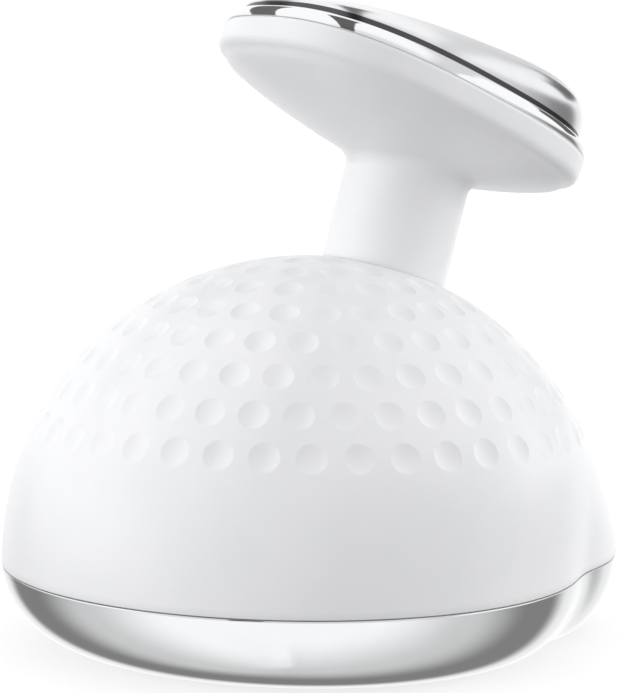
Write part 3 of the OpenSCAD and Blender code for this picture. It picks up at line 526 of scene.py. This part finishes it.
def make_base():
    """Bright bowl: rounded rim at the seam, full side, flat foot with the plate hole, walls."""
    n = 256
    hole = PLATE_R + PLATE_GAP
    rings = [round_ring(n, lambda a: plan(a, inset), SEAM_Z - drop) for inset, drop in
             ((1.2, 0.02), (0.35, 0.05), (0.1, 0.14), (0.0, RIM_ROUND))]
    for q in np.radians(np.linspace(88, 1.5, 40)):
        z = FOOT_Z + (SEAM_Z - RIM_ROUND - FOOT_Z) * (1 - math.cos(q))
        rings.append(round_ring(n, lambda a: pan_radius(a, z), z))
    rings.append(round_ring(n, lambda a: pan_radius(a, FOOT_Z) - 0.35, FOOT_Z))
    rings += [round_ring(n, lambda a: lobe(a, hole + wider, FRONT_Y), z) for wider, z in
              ((0.35, FOOT_Z), (0.1, FOOT_Z + 0.1), (0.0, FOOT_Z + 0.35), (0.0, FLOOR_Z))]
    rings += [round_ring(n, lambda a: pan_radius(a, FLOOR_Z, PAN_WALL), z)
              for z in (FLOOR_Z, STEP_Z)]
    rings += [round_ring(n, lambda a: plan(a, LIP_WALL), z) for z in (STEP_Z, SEAM_Z - 0.02)]
    base = shell_of_rings("base_bowl", rings, closed=True)
    recesses = []
    for at, angle, rear in SCREWS:
        a = math.radians(angle)
        y = (REAR_Y if rear else FRONT_Y) + at * math.sin(a)
        recesses.append(rod(32, SCREW_R, -1, FOOT_Z + SCREW_SINK, x=at * math.cos(a), y=y))
    return crisp(cut(base, *recesses), 38)


def under_depth(x, y, wall=0.0):
    """Depth of the underside below the rim: a tight round-over, then a straight slope inwards."""
    f = grip_share(x, y)
    slope = UNDER_EDGE * belly(f, UNDER_K) + (1 - UNDER_EDGE) * (1 - np.minimum(1.0, f))
    crease = 0.0 if wall else CREASE * np.exp(-((f - CREASE_AT) / CREASE_WIDTH) ** 2)
    return SHELL_SIDE + (SHELL_H - SHELL_SIDE - wall) * slope - crease


def neck_meets(a, r):
    """Height along the neck where a line beside its axis meets the grip's underside."""
    lean = math.radians(GRIP_TILT - NECK_LEAN)
    tilt = math.radians(GRIP_TILT)
    foot_y = (NECK_Y - GRIP_Y) * math.cos(tilt) - (NECK_Z - GRIP_Z) * math.sin(tilt)
    foot_z = (NECK_Y - GRIP_Y) * math.sin(tilt) + (NECK_Z - GRIP_Z) * math.cos(tilt)
    x, side = r * np.cos(a), r * np.sin(a)
    s = np.full_like(a, -foot_z)
    for _ in range(6):
        y = foot_y + side * math.cos(lean) - s * math.sin(lean)
        s = (-under_depth(x, y) - foot_z - side * math.sin(lean)) / math.cos(lean)
    return s


def neck_ring(n, r, s):
    """A ring about the neck, at height s along it, which may differ with the direction."""
    a = np.arange(n) * 2 * math.pi / n
    height = s(a) if callable(s) else np.full(n, float(s))
    return placed(np.stack([r * np.cos(a), r * np.sin(a), height], 1), AT_NECK)


def rim_from(middle, way):
    """The grip's rim as seen from a point inside it, found in each direction by halving."""
    lo, hi = np.zeros(len(way)), np.full(len(way), GRIP_L)
    for _ in range(40):
        mid = (lo + hi) / 2
        inside = grip_share(middle[0] + mid * np.cos(way), middle[1] + mid * np.sin(way)) < 1
        lo, hi = np.where(inside, mid, lo), np.where(inside, hi, mid)
    return np.stack([middle[0] + lo * np.cos(way), middle[1] + lo * np.sin(way)], 1)


def make_handle():
    """Neck tube, fillet and underside in one moulding, with its inner walls."""
    n = 192
    rings = [neck_ring(n, NECK_R, -4.0), neck_ring(n, NECK_R, 0.0)]
    for q in np.radians(np.linspace(0, 90, 13)):
        r = NECK_R + NECK_FILLET * (1 - math.cos(q))
        sink = NECK_FILLET * (1 - math.sin(q))
        rings.append(neck_ring(n, r, lambda a: neck_meets(a, r) - sink))
    edge = placed(rings[-1], AT_GRIP.inverted())
    middle = edge.mean(0)
    rim = rim_from(middle, np.arctan2(edge[:, 1] - middle[1], edge[:, 0] - middle[0]))
    for t in np.sin(np.radians(np.linspace(0, 90, 34)))[1:]:
        flat = edge[:, :2] * (1 - t) + rim * t
        under = np.column_stack([flat, -under_depth(flat[:, 0], flat[:, 1])])
        rings.append(placed(under, AT_GRIP))

    def wall(scale, depth):
        """A ring of the rim's wall, scaled down from the rim and set at a depth."""
        return placed(np.column_stack([rim * scale, np.full(n, depth)]), AT_GRIP)

    inside = 1 - GRIP_WALL / (GRIP_W / 2)
    rings += [wall(1.0, z) for z in (-1.6, -0.8, -0.25)]
    rings += [wall(0.994, -0.02), wall(inside, -0.02), wall(inside, -SHELL_SIDE)]
    for t in np.sin(np.radians(np.linspace(90, 0, 12)))[1:-1]:
        flat = edge[:, :2] * (1 - t) * 0.8 + rim * t * inside
        depth = under_depth(flat[:, 0] / inside, flat[:, 1] / inside, GRIP_WALL)
        rings.append(placed(np.column_stack([flat, -depth]), AT_GRIP))
    bore = NECK_R - NECK_WALL
    rings += [neck_ring(n, bore, lambda a: neck_meets(a, bore) + 1.5), neck_ring(n, bore, -4.0)]
    return crisp(shell_of_rings("grip_moulding", rings, closed=True), 50)


def make_band():
    """Chrome trim band, steep at the rim and drawn in towards the cover."""
    n = 320
    rings = [grip_ring(n, 0.1, 0.02), grip_ring(n, 0.0, 0.1)]
    for q in np.radians(np.linspace(6, 90, 16)):
        rings.append(grip_ring(n, TRIM_IN * (1 - math.cos(q)), 0.1 + (TRIM_H - 0.1) * math.sin(q)))
    rings += [grip_ring(n, TRIM_BOTTOM, TRIM_H), grip_ring(n, TRIM_BOTTOM, 0.02)]
    band = shell_of_rings("trim_band", [placed(r, AT_GRIP) for r in rings], closed=True)
    return crisp(band, 50)


def cover_skin(n, steps, inset, height):
    """Rings of a domed skin of the top cover in the grip's frame, from its foot to its crown."""
    rings = [grip_ring(n, TRIM_IN + 0.3, TRIM_H + 0.02)]
    for share in np.cos(np.radians(np.linspace(0, 88, steps))):
        b = float(belly(np.array(share), COVER_K))
        rings.append(grip_ring(n, inset, TRIM_H + height * b, share, COVER_WEDGE * b))
    return rings + [np.array([[0.0, 0.0, TRIM_H + height]])]


def make_cover():
    """Chrome top cover over the band, with holes for its buttons and lights."""
    n = 320
    outer = cover_skin(n, 56, TRIM_IN, COVER_RISE)
    outer[1] += [0, 0, 0.06]
    inner = cover_skin(n, 14, TRIM_IN + GRIP_WALL, COVER_RISE - GRIP_WALL)
    start = sum(len(r) for r in outer)
    faces = ring_faces([len(r) for r in outer])
    faces += [tuple(start + i for i in reversed(face))
              for face in ring_faces([len(r) for r in inner])]
    cover = new_piece("top_shell", placed(np.concatenate(outer + inner), AT_GRIP), faces)
    face_outwards(cover)
    holes = [rod(64, r + BUTTON_GAP, -8, 8, AT_COVER, y=y) for y, r in BUTTONS]
    holes += [rod(32, PIPE_R + PIPE_GAP, -8, 8, AT_COVER, x=x, y=PIPE_Y) for x in PIPE_X]
    return crisp(cut(cover, *holes), 40)


def finish_named(name, tone, rough, metal=0.0, **fixed):
    """A new material with its shader's plain values; returns the material, its nodes and shader."""
    made = bpy.data.materials.new(name)
    made.use_nodes = True
    tree = made.node_tree
    shader = tree.nodes["Principled BSDF"]
    shader.inputs["Base Color"].default_value = (*tone, 1)
    shader.inputs["Roughness"].default_value = rough
    shader.inputs["Metallic"].default_value = metal
    for key, value in fixed.items():
        shader.inputs[key.replace("_", " ").title()].default_value = value
    return made, Nodes(tree), shader


def feed(nodes, shader, **wires):
    """Links wires to the shader's sockets of the same names."""
    for key, wire in wires.items():
        nodes.tree.links.new(wire.socket, shader.inputs[key.replace("_", " ").title()])


def place_of(nodes, at=(0, 0, 0), turn=(0, 0, 0), scale=(1, 1, 1)):
    """Object coordinates, centred and turned."""
    where = nodes.add("ShaderNodeTexCoord", out="Object")
    return nodes.add("ShaderNodeMapping", {"vector_type": "TEXTURE"},
                     {"Vector": where, "Location": at, "Rotation": turn, "Scale": scale})


def grain(nodes, where, per_metre, detail=3.0, rough=0.55):
    """Cloudy noise, its scale given per metre."""
    return nodes.add("ShaderNodeTexNoise", {}, {
        "Vector": where, "Scale": per_metre, "Detail": detail, "Roughness": rough})


def turned_rings(nodes, where, per_metre, detail):
    """Fine uneven rings about the Z axis of a place."""
    flat = nodes.add("ShaderNodeVectorMath", {"operation": "MULTIPLY"}, {0: where, 1: (1, 1, 0)})
    out = nodes.add("ShaderNodeVectorMath", {"operation": "LENGTH"}, {0: flat}, "Value")
    return nodes.add("ShaderNodeTexNoise", {"noise_dimensions": "1D"},
                     {"W": out, "Scale": per_metre, "Detail": detail})


def blend_tones(nodes, share, tone_a, tone_b):
    """A colour between two tones, each a colour or a wire."""
    a, b = (t if isinstance(t, Wire) else (*t, 1) for t in (tone_a, tone_b))
    return nodes.add("ShaderNodeMix", {"data_type": "RGBA"}, {"Factor": share, 6: a, 7: b}, 2)


def raised(nodes, height, strength, distance):
    """A normal raised by a height, its distance in metres."""
    return nodes.add("ShaderNodeBump", {},
                     {"Height": height, "Strength": strength, "Distance": distance})


def white_moulding():
    """Satin white plastic: faint flow tone, fine moulded texture, slightly uneven sheen."""
    made, n, shader = finish_named("white_moulding", (0.85, 0.855, 0.87), 0.36, coat_weight=0.12,
                                   coat_roughness=0.18)
    where = place_of(n)
    tone = grain(n, where, 38.0, 4.0).step(0.35, 0.65)
    sheen = grain(n, where, 160.0, 5.0)
    texture = grain(n, where, 5200.0, 2.0)
    rub = grain(n, place_of(n, scale=(1, 1, 0.08)), 700.0, 3.0)
    feed(n, shader, base_color=blend_tones(n, tone, (0.84, 0.845, 0.862), (0.87, 0.873, 0.885)),
         roughness=0.31 + sheen * 0.08 + rub.step(0.58, 0.75) * 0.04,
         normal=raised(n, texture, 0.22, 0.00002))
    return made


def bright_chrome(name, tone, low, high, wave, shadow_to=None):
    """Polished chrome: clear reflections, faint smudges and hairlines, a hint of waviness.

    Up to the height shadow_to in the grip's frame the colour is painted near black: painted shade
    of the gap over the band.
    """
    made, n, shader = finish_named(name, tone, low, 1.0)
    where = place_of(n)
    smudge = grain(n, where, 55.0, 5.0, 0.62).step(0.45, 0.75)
    hair = grain(n, place_of(n, turn=(0.3, 0.9, 0.5), scale=(1, 0.02, 1)), 2400.0, 2.0)
    slow = grain(n, where, 24.0, 1.0)
    metal = blend_tones(n, smudge, tone, tuple(c * 0.96 for c in tone))
    if shadow_to:
        local = place_of(n, at=tuple(AT_GRIP.translation * MM),
                         turn=(-math.radians(GRIP_TILT), 0, 0))
        height = n.add("ShaderNodeSeparateXYZ", {}, {0: local}, "Z") / MM
        # Painted shade: the base colour goes to near black below shadow_to, standing in for the
        # shadow in the gap over the band.
        shadow = height.step(shadow_to, shadow_to - 0.12)
        metal = blend_tones(n, shadow, metal, (0.1, 0.1, 0.105))
    feed(n, shader, roughness=low + smudge * (high - low) + hair.step(0.66, 0.8) * 0.05,
         base_color=metal, normal=raised(n, slow, 0.2, wave))
    return made


def turned_steel(name, centre, tone=(0.72, 0.72, 0.73)):
    """Skin contact: polished steel with fine turned rings about its own middle."""
    made, n, shader = finish_named(name, tone, 0.2, 1.0)
    where = place_of(n, at=centre)
    line = turned_rings(n, where, 9000.0, 3.0)
    smudge = grain(n, where, 220.0, 4.0)
    feed(n, shader, roughness=0.14 + line * 0.14 + smudge.step(0.5, 0.8) * 0.08,
         base_color=blend_tones(n, line, tuple(c * 0.9 for c in tone), tone),
         normal=raised(n, line, 0.25, 0.00002))
    return made


def plain_steel():
    """Screws, springs and cans: zinc-bright steel with cloudy patches."""
    made, n, shader = finish_named("zinc_steel", (0.6, 0.61, 0.63), 0.3, 1.0)
    cloud = grain(n, place_of(n), 900.0, 4.0)
    lines = grain(n, place_of(n, scale=(1, 1, 0.05)), 5000.0, 2.0)
    feed(n, shader, base_color=blend_tones(n, cloud, (0.5, 0.51, 0.53), (0.66, 0.67, 0.69)),
         roughness=0.24 + cloud * 0.16, normal=raised(n, lines, 0.2, 0.00002))
    return made


def warm_brass():
    """Contact springs and the motor's weight: brass with a cloudy tarnish."""
    made, n, shader = finish_named("warm_brass", (0.78, 0.6, 0.3), 0.28, 1.0)
    cloud = grain(n, place_of(n), 700.0, 4.0)
    feed(n, shader, base_color=blend_tones(n, cloud, (0.66, 0.47, 0.2), (0.83, 0.66, 0.36)),
         roughness=0.22 + cloud * 0.2, normal=raised(n, cloud, 0.15, 0.00003))
    return made


def milky_ring():
    """Light ring: milky moulded plastic, a little denser at its flow lines."""
    made, n, shader = finish_named("milky_ring", (0.93, 0.88, 0.86), 0.3, coat_weight=0.2,
                                   subsurface_weight=0.25, subsurface_scale=0.002)
    where = place_of(n, at=(0, FRONT_Y * MM, 0))
    cloud = grain(n, where, 260.0, 3.0)
    fine = grain(n, where, 4200.0, 2.0)
    feed(n, shader, base_color=blend_tones(n, cloud, (0.95, 0.86, 0.83), (0.96, 0.92, 0.9)),
         roughness=0.24 + cloud * 0.12, normal=raised(n, fine, 0.15, 0.00002))
    return made


def light_guide():
    """Indicator light pipes: pale, glossy, slightly smoky."""
    made, n, shader = finish_named("light_guide", (0.8, 0.88, 0.93), 0.12, coat_weight=0.5,
                                   transmission_weight=0.35)
    cloud = grain(n, place_of(n), 500.0, 3.0)
    feed(n, shader, base_color=blend_tones(n, cloud, (0.76, 0.85, 0.92), (0.88, 0.93, 0.96)),
         roughness=0.08 + cloud * 0.1, normal=raised(n, cloud, 0.1, 0.00002))
    return made


def green_board():
    """Circuit board: solder mask over crossing tracks, with small bright pads."""
    made, n, shader = finish_named("green_board", (0.03, 0.2, 0.09), 0.35, coat_weight=0.4)
    where = place_of(n)
    tracks = n.add("ShaderNodeTexBrick", {"offset": 0.37, "squash": 1.4}, {
        "Vector": where, "Scale": 420.0, "Mortar Size": 0.09, "Mortar Smooth": 0.1,
        "Color1": (0, 0, 0, 1), "Color2": (0, 0, 0, 1), "Mortar": (1, 1, 1, 1),
        "Brick Width": 0.9, "Row Height": 0.35}, "Fac")
    cells = n.add("ShaderNodeTexVoronoi", {},
                  {"Vector": where, "Scale": 330.0, "Randomness": 0.35}, "Distance")
    pads = cells.step(0.16, 0.13)
    mask = grain(n, where, 900.0, 2.0)
    green = blend_tones(n, tracks * 0.6 + mask * 0.3, (0.012, 0.13, 0.055), (0.05, 0.3, 0.14))
    feed(n, shader, base_color=blend_tones(n, pads, green, (0.78, 0.72, 0.55)),
         metallic=pads * 0.9, roughness=0.4 - pads * 0.15 + mask * 0.08,
         normal=raised(n, tracks + pads, 0.35, 0.00004))
    return made


def battery_wrap():
    """Shrink wrap of the cell: dull blue-grey film with lengthwise creases."""
    made, n, shader = finish_named("battery_wrap", (0.16, 0.22, 0.34), 0.35, coat_weight=0.3)
    crease = grain(n, place_of(n, scale=(1, 0.12, 1)), 1300.0, 3.0)
    tone = grain(n, place_of(n), 120.0, 2.0)
    feed(n, shader, base_color=blend_tones(n, tone, (0.13, 0.19, 0.3), (0.2, 0.27, 0.4)),
         roughness=0.28 + crease * 0.2, normal=raised(n, crease, 0.5, 0.00008))
    return made


def soft_rubber():
    """Gasket: black rubber with a dusty bloom."""
    made, n, shader = finish_named("soft_rubber", (0.05, 0.05, 0.055), 0.75)
    where = place_of(n)
    bloom = grain(n, where, 180.0, 4.0)
    fine = grain(n, where, 3600.0, 2.0)
    feed(n, shader, base_color=blend_tones(n, bloom, (0.035, 0.035, 0.04), (0.085, 0.085, 0.09)),
         roughness=0.66 + bloom * 0.2, normal=raised(n, fine, 0.4, 0.00004))
    return made


def cable_sleeve():
    """Lead inside the neck: grey sleeve with a fine wrapped rib."""
    made, n, shader = finish_named("cable_sleeve", (0.12, 0.12, 0.13), 0.5)
    where = place_of(n, at=(0, NECK_Y * MM, NECK_Z * MM), turn=(-math.radians(NECK_LEAN), 0, 0))
    rib = n.add("ShaderNodeTexWave", {"wave_type": "BANDS", "bands_direction": "Z"},
                {"Vector": where, "Scale": 420.0, "Distortion": 0.4}, "Fac")
    cloud = grain(n, where, 400.0, 3.0)
    feed(n, shader, base_color=blend_tones(n, cloud, (0.08, 0.08, 0.09), (0.17, 0.17, 0.18)),
         roughness=0.42 + cloud * 0.16, normal=raised(n, rib, 0.4, 0.00008))
    return made


def white_ceramic():
    """Ultrasound disc: fired ceramic with fine dark specks."""
    made, n, shader = finish_named("white_ceramic", (0.8, 0.77, 0.7), 0.25, coat_weight=0.4)
    where = place_of(n)
    speck = grain(n, where, 2600.0, 2.0)
    cloud = grain(n, where, 240.0, 3.0)
    tone = blend_tones(n, speck.step(0.62, 0.72), (0.82, 0.79, 0.73), (0.64, 0.6, 0.53))
    feed(n, shader, base_color=tone, roughness=0.22 + cloud * 0.14,
         normal=raised(n, speck, 0.2, 0.00002))
    return made


def inner_moulding():
    """Inside plastic: pale grey with an eroded texture."""
    made, n, shader = finish_named("inner_moulding", (0.55, 0.56, 0.58), 0.55)
    where = place_of(n)
    cloud = grain(n, where, 60.0, 3.0)
    pits = n.add("ShaderNodeTexVoronoi", {}, {"Vector": where, "Scale": 2600.0}, "Distance")
    feed(n, shader, base_color=blend_tones(n, cloud, (0.5, 0.51, 0.53), (0.6, 0.61, 0.63)),
         roughness=0.5 + cloud * 0.12, normal=raised(n, pits, 0.35, 0.00003))
    return made


def skin_plate():
    """Treatment plate: close white moulding, smoother than the dome."""
    made, n, shader = finish_named("skin_plate", (0.86, 0.86, 0.87), 0.26, coat_weight=0.25)
    where = place_of(n, at=(0, FRONT_Y * MM, 0))
    cloud = grain(n, where, 70.0, 3.0)
    fine = grain(n, where, 4400.0, 2.0)
    feed(n, shader, base_color=blend_tones(n, cloud, (0.84, 0.84, 0.852), (0.885, 0.885, 0.892)),
         roughness=0.22 + cloud * 0.1, normal=raised(n, fine, 0.14, 0.00002))
    return made


def button_silver(name, y):
    """Button caps: silver lacquer with a spun face about the button's own axis."""
    made, n, shader = finish_named(name, (0.7, 0.7, 0.72), 0.28, 0.9, coat_weight=0.4)
    centre = AT_COVER @ Vector((0, y, 0))
    where = place_of(n, at=tuple(c * MM for c in centre),
                     turn=(math.radians(WEDGE_A - GRIP_TILT), 0, 0))
    line = turned_rings(n, where, 7000.0, 2.0)
    feed(n, shader, base_color=blend_tones(n, line, (0.6, 0.6, 0.62), (0.78, 0.78, 0.8)),
         roughness=0.22 + line * 0.14, normal=raised(n, line, 0.25, 0.00002))
    return made


FINISH = {
    "white": white_moulding(),
    "base_chrome": bright_chrome("base_chrome", (0.86, 0.865, 0.875), 0.07, 0.12, 0.00006),
    "trim_chrome": bright_chrome("trim_chrome", (0.88, 0.885, 0.895), 0.05, 0.09, 0.00002),
    # The cover's foot gets painted shade: its colour goes near black in the gap over the band.
    "cover_chrome": bright_chrome("cover_chrome", (0.84, 0.845, 0.86), 0.2, 0.25, 0.00003,
                                  shadow_to=TRIM_H + 1.0),
    "steel": plain_steel(),
    "brass": warm_brass(),
    "ring": milky_ring(),
    "guide": light_guide(),
    "board": green_board(),
    "wrap": battery_wrap(),
    "rubber": soft_rubber(),
    "sleeve": cable_sleeve(),
    "ceramic": white_ceramic(),
    "inner": inner_moulding(),
    "plate": skin_plate(),
    "probe": turned_steel("turned_probe", (0, FRONT_Y * MM, 0)),
}
for number, angle in enumerate((45, 135, 225, 315), 1):
    a = math.radians(angle)
    spot = (PAD_AT * math.cos(a) * MM, (FRONT_Y + PAD_AT * math.sin(a)) * MM, 0)
    FINISH[f"pad_{number}"] = turned_steel(f"turned_pad_{number}", spot)
for name, (y, _) in zip(("power", "mode", "level"), BUTTONS):
    FINISH[name] = button_silver(f"{name}_silver", y)

NODE_FINISH = {
    "base_pan": "base_chrome", "dome_shell": "white", "handle_shell": "white",
    "trim_ring": "trim_chrome", "top_cover": "cover_chrome",
    "treatment_plate": "plate", "center_probe": "probe", "light_ring": "ring",
    "electrode_1": "pad_1", "electrode_2": "pad_2", "electrode_3": "pad_3", "electrode_4": "pad_4",
    "contact_pins": "brass", "head_board": "board", "transducer": "ceramic",
    "seam_gasket": "rubber", "chassis": "inner", "battery": "wrap", "battery_clamp": "inner",
    "motor_body": "steel", "motor_rotor": "brass", "motor_clamp": "inner",
    "main_board": "board", "charge_socket": "steel", "neck_plate": "inner", "harness": "sleeve",
    "base_screws": "steel", "head_screws": "steel", "plate_screws": "steel",
    "chassis_screws": "steel", "clamp_screws": "steel", "board_screws": "steel",
    "neck_screws": "steel", "control_screws": "steel",
    "control_board": "board", "power_button": "power", "mode_button": "mode",
    "level_button": "level", "indicator_pipe": "guide",
}
for name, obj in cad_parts.items():
    if not obj.material_slots:
        obj.data.materials.append(None)
    for kept in obj.material_slots:
        kept.link = "OBJECT"
        kept.material = FINISH[NODE_FINISH[name]]


def dress(piece, finish, node, body="housing"):
    """Coats a finished piece and lets it stand for its node of the solid model."""
    piece.data.materials.clear()
    piece.data.materials.append(FINISH[finish])
    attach(piece, body)
    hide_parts(node)
    return piece


dress(make_dome(FINISH["white"]), "white", "dome_shell")
dress(make_base(), "base_chrome", "base_pan")
dress(make_handle(), "white", "handle_shell")
dress(make_band(), "trim_chrome", "trim_ring")
dress(make_cover(), "cover_chrome", "top_cover")

# Camera: its bearings in degrees about the point it looks at, and its lens
AZIMUTH, ELEVATION, ROLL = 54.0, 6.36, 1.17
AIM, DISTANCE = Vector((0, 3, 55)), 533.2
SENSOR, LENS, SHIFT = 36.0, 150.42, (-0.04315, -0.00577)
# Lamps: distance from the object, width of the soft box, height that they look at, in metres
LAMP_FAR, LAMP_FOOT, LAMP_SIZE, LAMP_AIM = 1.0, 0.05, 0.5, 0.06
# Light of the room, and the floor's own tone and what lifts it to white for the camera
ROOM_LIGHT, FLOOR_TONE, FLOOR_GLOW, FLOOR_HALF = 0.9, 0.42, 0.63, 4000
# Brightness of the panels that the metal sees
PANEL = 1.08


def make_camera():
    """Camera where the photograph was taken from."""
    a, e, r = (math.radians(x) for x in (AZIMUTH, ELEVATION, ROLL))
    back = Vector((math.sin(a) * math.cos(e), -math.cos(a) * math.cos(e), math.sin(e)))
    right = Vector((math.cos(a), math.sin(a), 0))
    up = back.cross(right)
    x_axis = math.cos(r) * right + math.sin(r) * up
    y_axis = -math.sin(r) * right + math.cos(r) * up
    data = bpy.data.cameras.new("camera")
    data.sensor_width, data.lens = SENSOR, LENS
    data.shift_x, data.shift_y = SHIFT
    data.clip_start, data.clip_end = 0.05, 20.0
    made = bpy.data.objects.new("camera", data)
    turn = Matrix((x_axis, y_axis, back)).transposed().to_4x4()
    made.matrix_world = Matrix.Translation((AIM + back * DISTANCE) * MM) @ turn
    bpy.context.scene.collection.objects.link(made)
    bpy.context.scene.camera = made
    return made


def softbox(name, turn, lift, watts):
    """Soft lamp on its stand, by its turn from the camera to the right and its lift over the table.

    Metal sees the studio's panels instead of it.
    """
    a, e = math.radians(AZIMUTH + turn), math.radians(lift)
    level = LAMP_FAR * math.cos(e)
    place = Vector((level * math.sin(a), -level * math.cos(a), LAMP_FAR * math.sin(e) + LAMP_FOOT))
    data = bpy.data.lights.new(name, "AREA")
    data.shape, data.size, data.size_y, data.energy = "RECTANGLE", LAMP_SIZE, LAMP_SIZE, watts
    made = bpy.data.objects.new(name, data)
    made.location = place
    made.rotation_euler = (Vector((0, 0, LAMP_AIM)) - place).to_track_quat("-Z", "Y").to_euler()
    made.visible_glossy = False
    bpy.context.scene.collection.objects.link(made)
    return made


def make_floor():
    """Pale floor that keeps the shadow and is plain white behind the object."""
    corners = [(-1, -1, 0), (1, -1, 0), (1, 1, 0), (-1, 1, 0)]
    made = new_piece("studio_floor", np.array(corners) * FLOOR_HALF, [(0, 1, 2, 3)])
    paint, n, shader = finish_named("floor_paint", (FLOOR_TONE,) * 3, 0.9)
    seen = n.add("ShaderNodeLightPath", out="Is Camera Ray")
    shader.inputs["Emission Color"].default_value = (1, 1, 1, 1)
    feed(n, shader, emission_strength=seen * FLOOR_GLOW)
    made.data.materials.append(paint)
    made.visible_glossy = False
    return made


def stretch(wire, start, end, soft_start, soft_end):
    """1 while the wire runs from start to end, and softly 0 beyond."""
    return wire.step(start - soft_start, start) * wire.step(end + soft_end, end)


def studio_angles(n):
    """Angles of a direction out of the scene: all in degrees, but the turn in radians.

    They are its lift over level, how far it is off straight ahead, its turn from ahead to the
    right, and its place across and away on a chart round the zenith.
    """
    way = n.add("ShaderNodeTexCoord", out="Generated")
    a, e = math.radians(AZIMUTH), math.radians(ELEVATION)

    def along(*axis):
        """How far the direction points along an axis."""
        return n.add("ShaderNodeVectorMath", {"operation": "DOT_PRODUCT"}, {0: way, 1: axis},
                     "Value")

    ahead = along(-math.sin(a) * math.cos(e), math.cos(a) * math.cos(e), -math.sin(e))
    up = along(0, 0, 1)
    off = ahead.alone("ARCCOSINE") * RADIAN
    down = up.alone("ARCCOSINE") * RADIAN
    turn = up.sum_of("ARCTAN2", along(math.cos(a), math.sin(a), 0),
                     along(-math.sin(a), math.cos(a), 0))
    across, away = down * turn.alone("SINE"), down * turn.alone("COSINE")
    return 90 - down, off, turn, across, away


def lower_panels(lift, off, turn):
    """What the base sees: the white sweep ahead, a dark gap beside it, then the lit room."""
    sweep = off - (lift + 20) * 0.4 + turn.step(0.0, -0.8) * 11
    bright = PANEL - sweep.step(12, 36) * 0.16 - sweep.step(34, 52) * 0.68
    return bright + sweep.step(68, 100) * 0.44 + sweep.step(100, 138) * 0.4


def upper_panels(lift, turn, across, away):
    """What the grip sees: two large panels, the gap between them, and gaps at their outer edges."""
    middle = across + 2 - 0.2 * away - 0.1 * (away + 20).least(0.0)
    gap = stretch(middle, -8, 8, 1.2, 1.2) * stretch(away, -70, 24, 4, 3)
    left = away - (40 + 0.65 * (across + 40))
    slant = stretch(left, -6, 6, 1.5, 1.5) * stretch(across, -66, -13, 3, 2)
    right = across - (62 - 0.55 * away.most(0.0) - 0.3 * away.least(0.0))
    swoosh = stretch(right, -6, 1, 14, 3)
    end = stretch(turn * RADIAN, 26, 56, 2, 2) * stretch(lift, 9, 24, 2, 1)
    bright = PANEL - away.step(-28, -60) * 0.3
    for dark, share in ((gap, 0.88), (slant, 0.86), (swoosh, 0.3), (end, 0.88)):
        bright = bright * (1 - dark * share)
    return bright


def make_world():
    """White to the camera, grey light on the object, and panels for its bright metal."""
    world = bpy.data.worlds.new("studio")
    bpy.context.scene.world = world
    world.use_nodes = True
    world.node_tree.nodes.clear()
    n = Nodes(world.node_tree)

    def either(share, a, b):
        """Runs from a to b with the share."""
        return n.add("ShaderNodeMix", {"data_type": "FLOAT"}, {"Factor": share, "A": a, "B": b})

    lift, off, turn, across, away = studio_angles(n)
    studio = either(lift.step(0, 8), lower_panels(lift, off, turn),
                    upper_panels(lift, turn, across, away))
    to_camera = n.add("ShaderNodeLightPath", out="Is Camera Ray")
    seen = either(to_camera.other("Is Glossy Ray"), ROOM_LIGHT, studio)
    seen = either(to_camera, seen, 1.0)
    light = n.add("ShaderNodeBackground", {}, {"Color": (1, 1, 1, 1), "Strength": seen})
    n.add("ShaderNodeOutputWorld", {}, {"Surface": light})


make_camera()
softbox("left_box", -85, 5, 3.0)
softbox("right_box", 105, 5, 5.8)
softbox("key_box", -60, 5, 1.8)
make_floor()
make_world()
bpy.context.scene.view_settings.view_transform = "Standard"
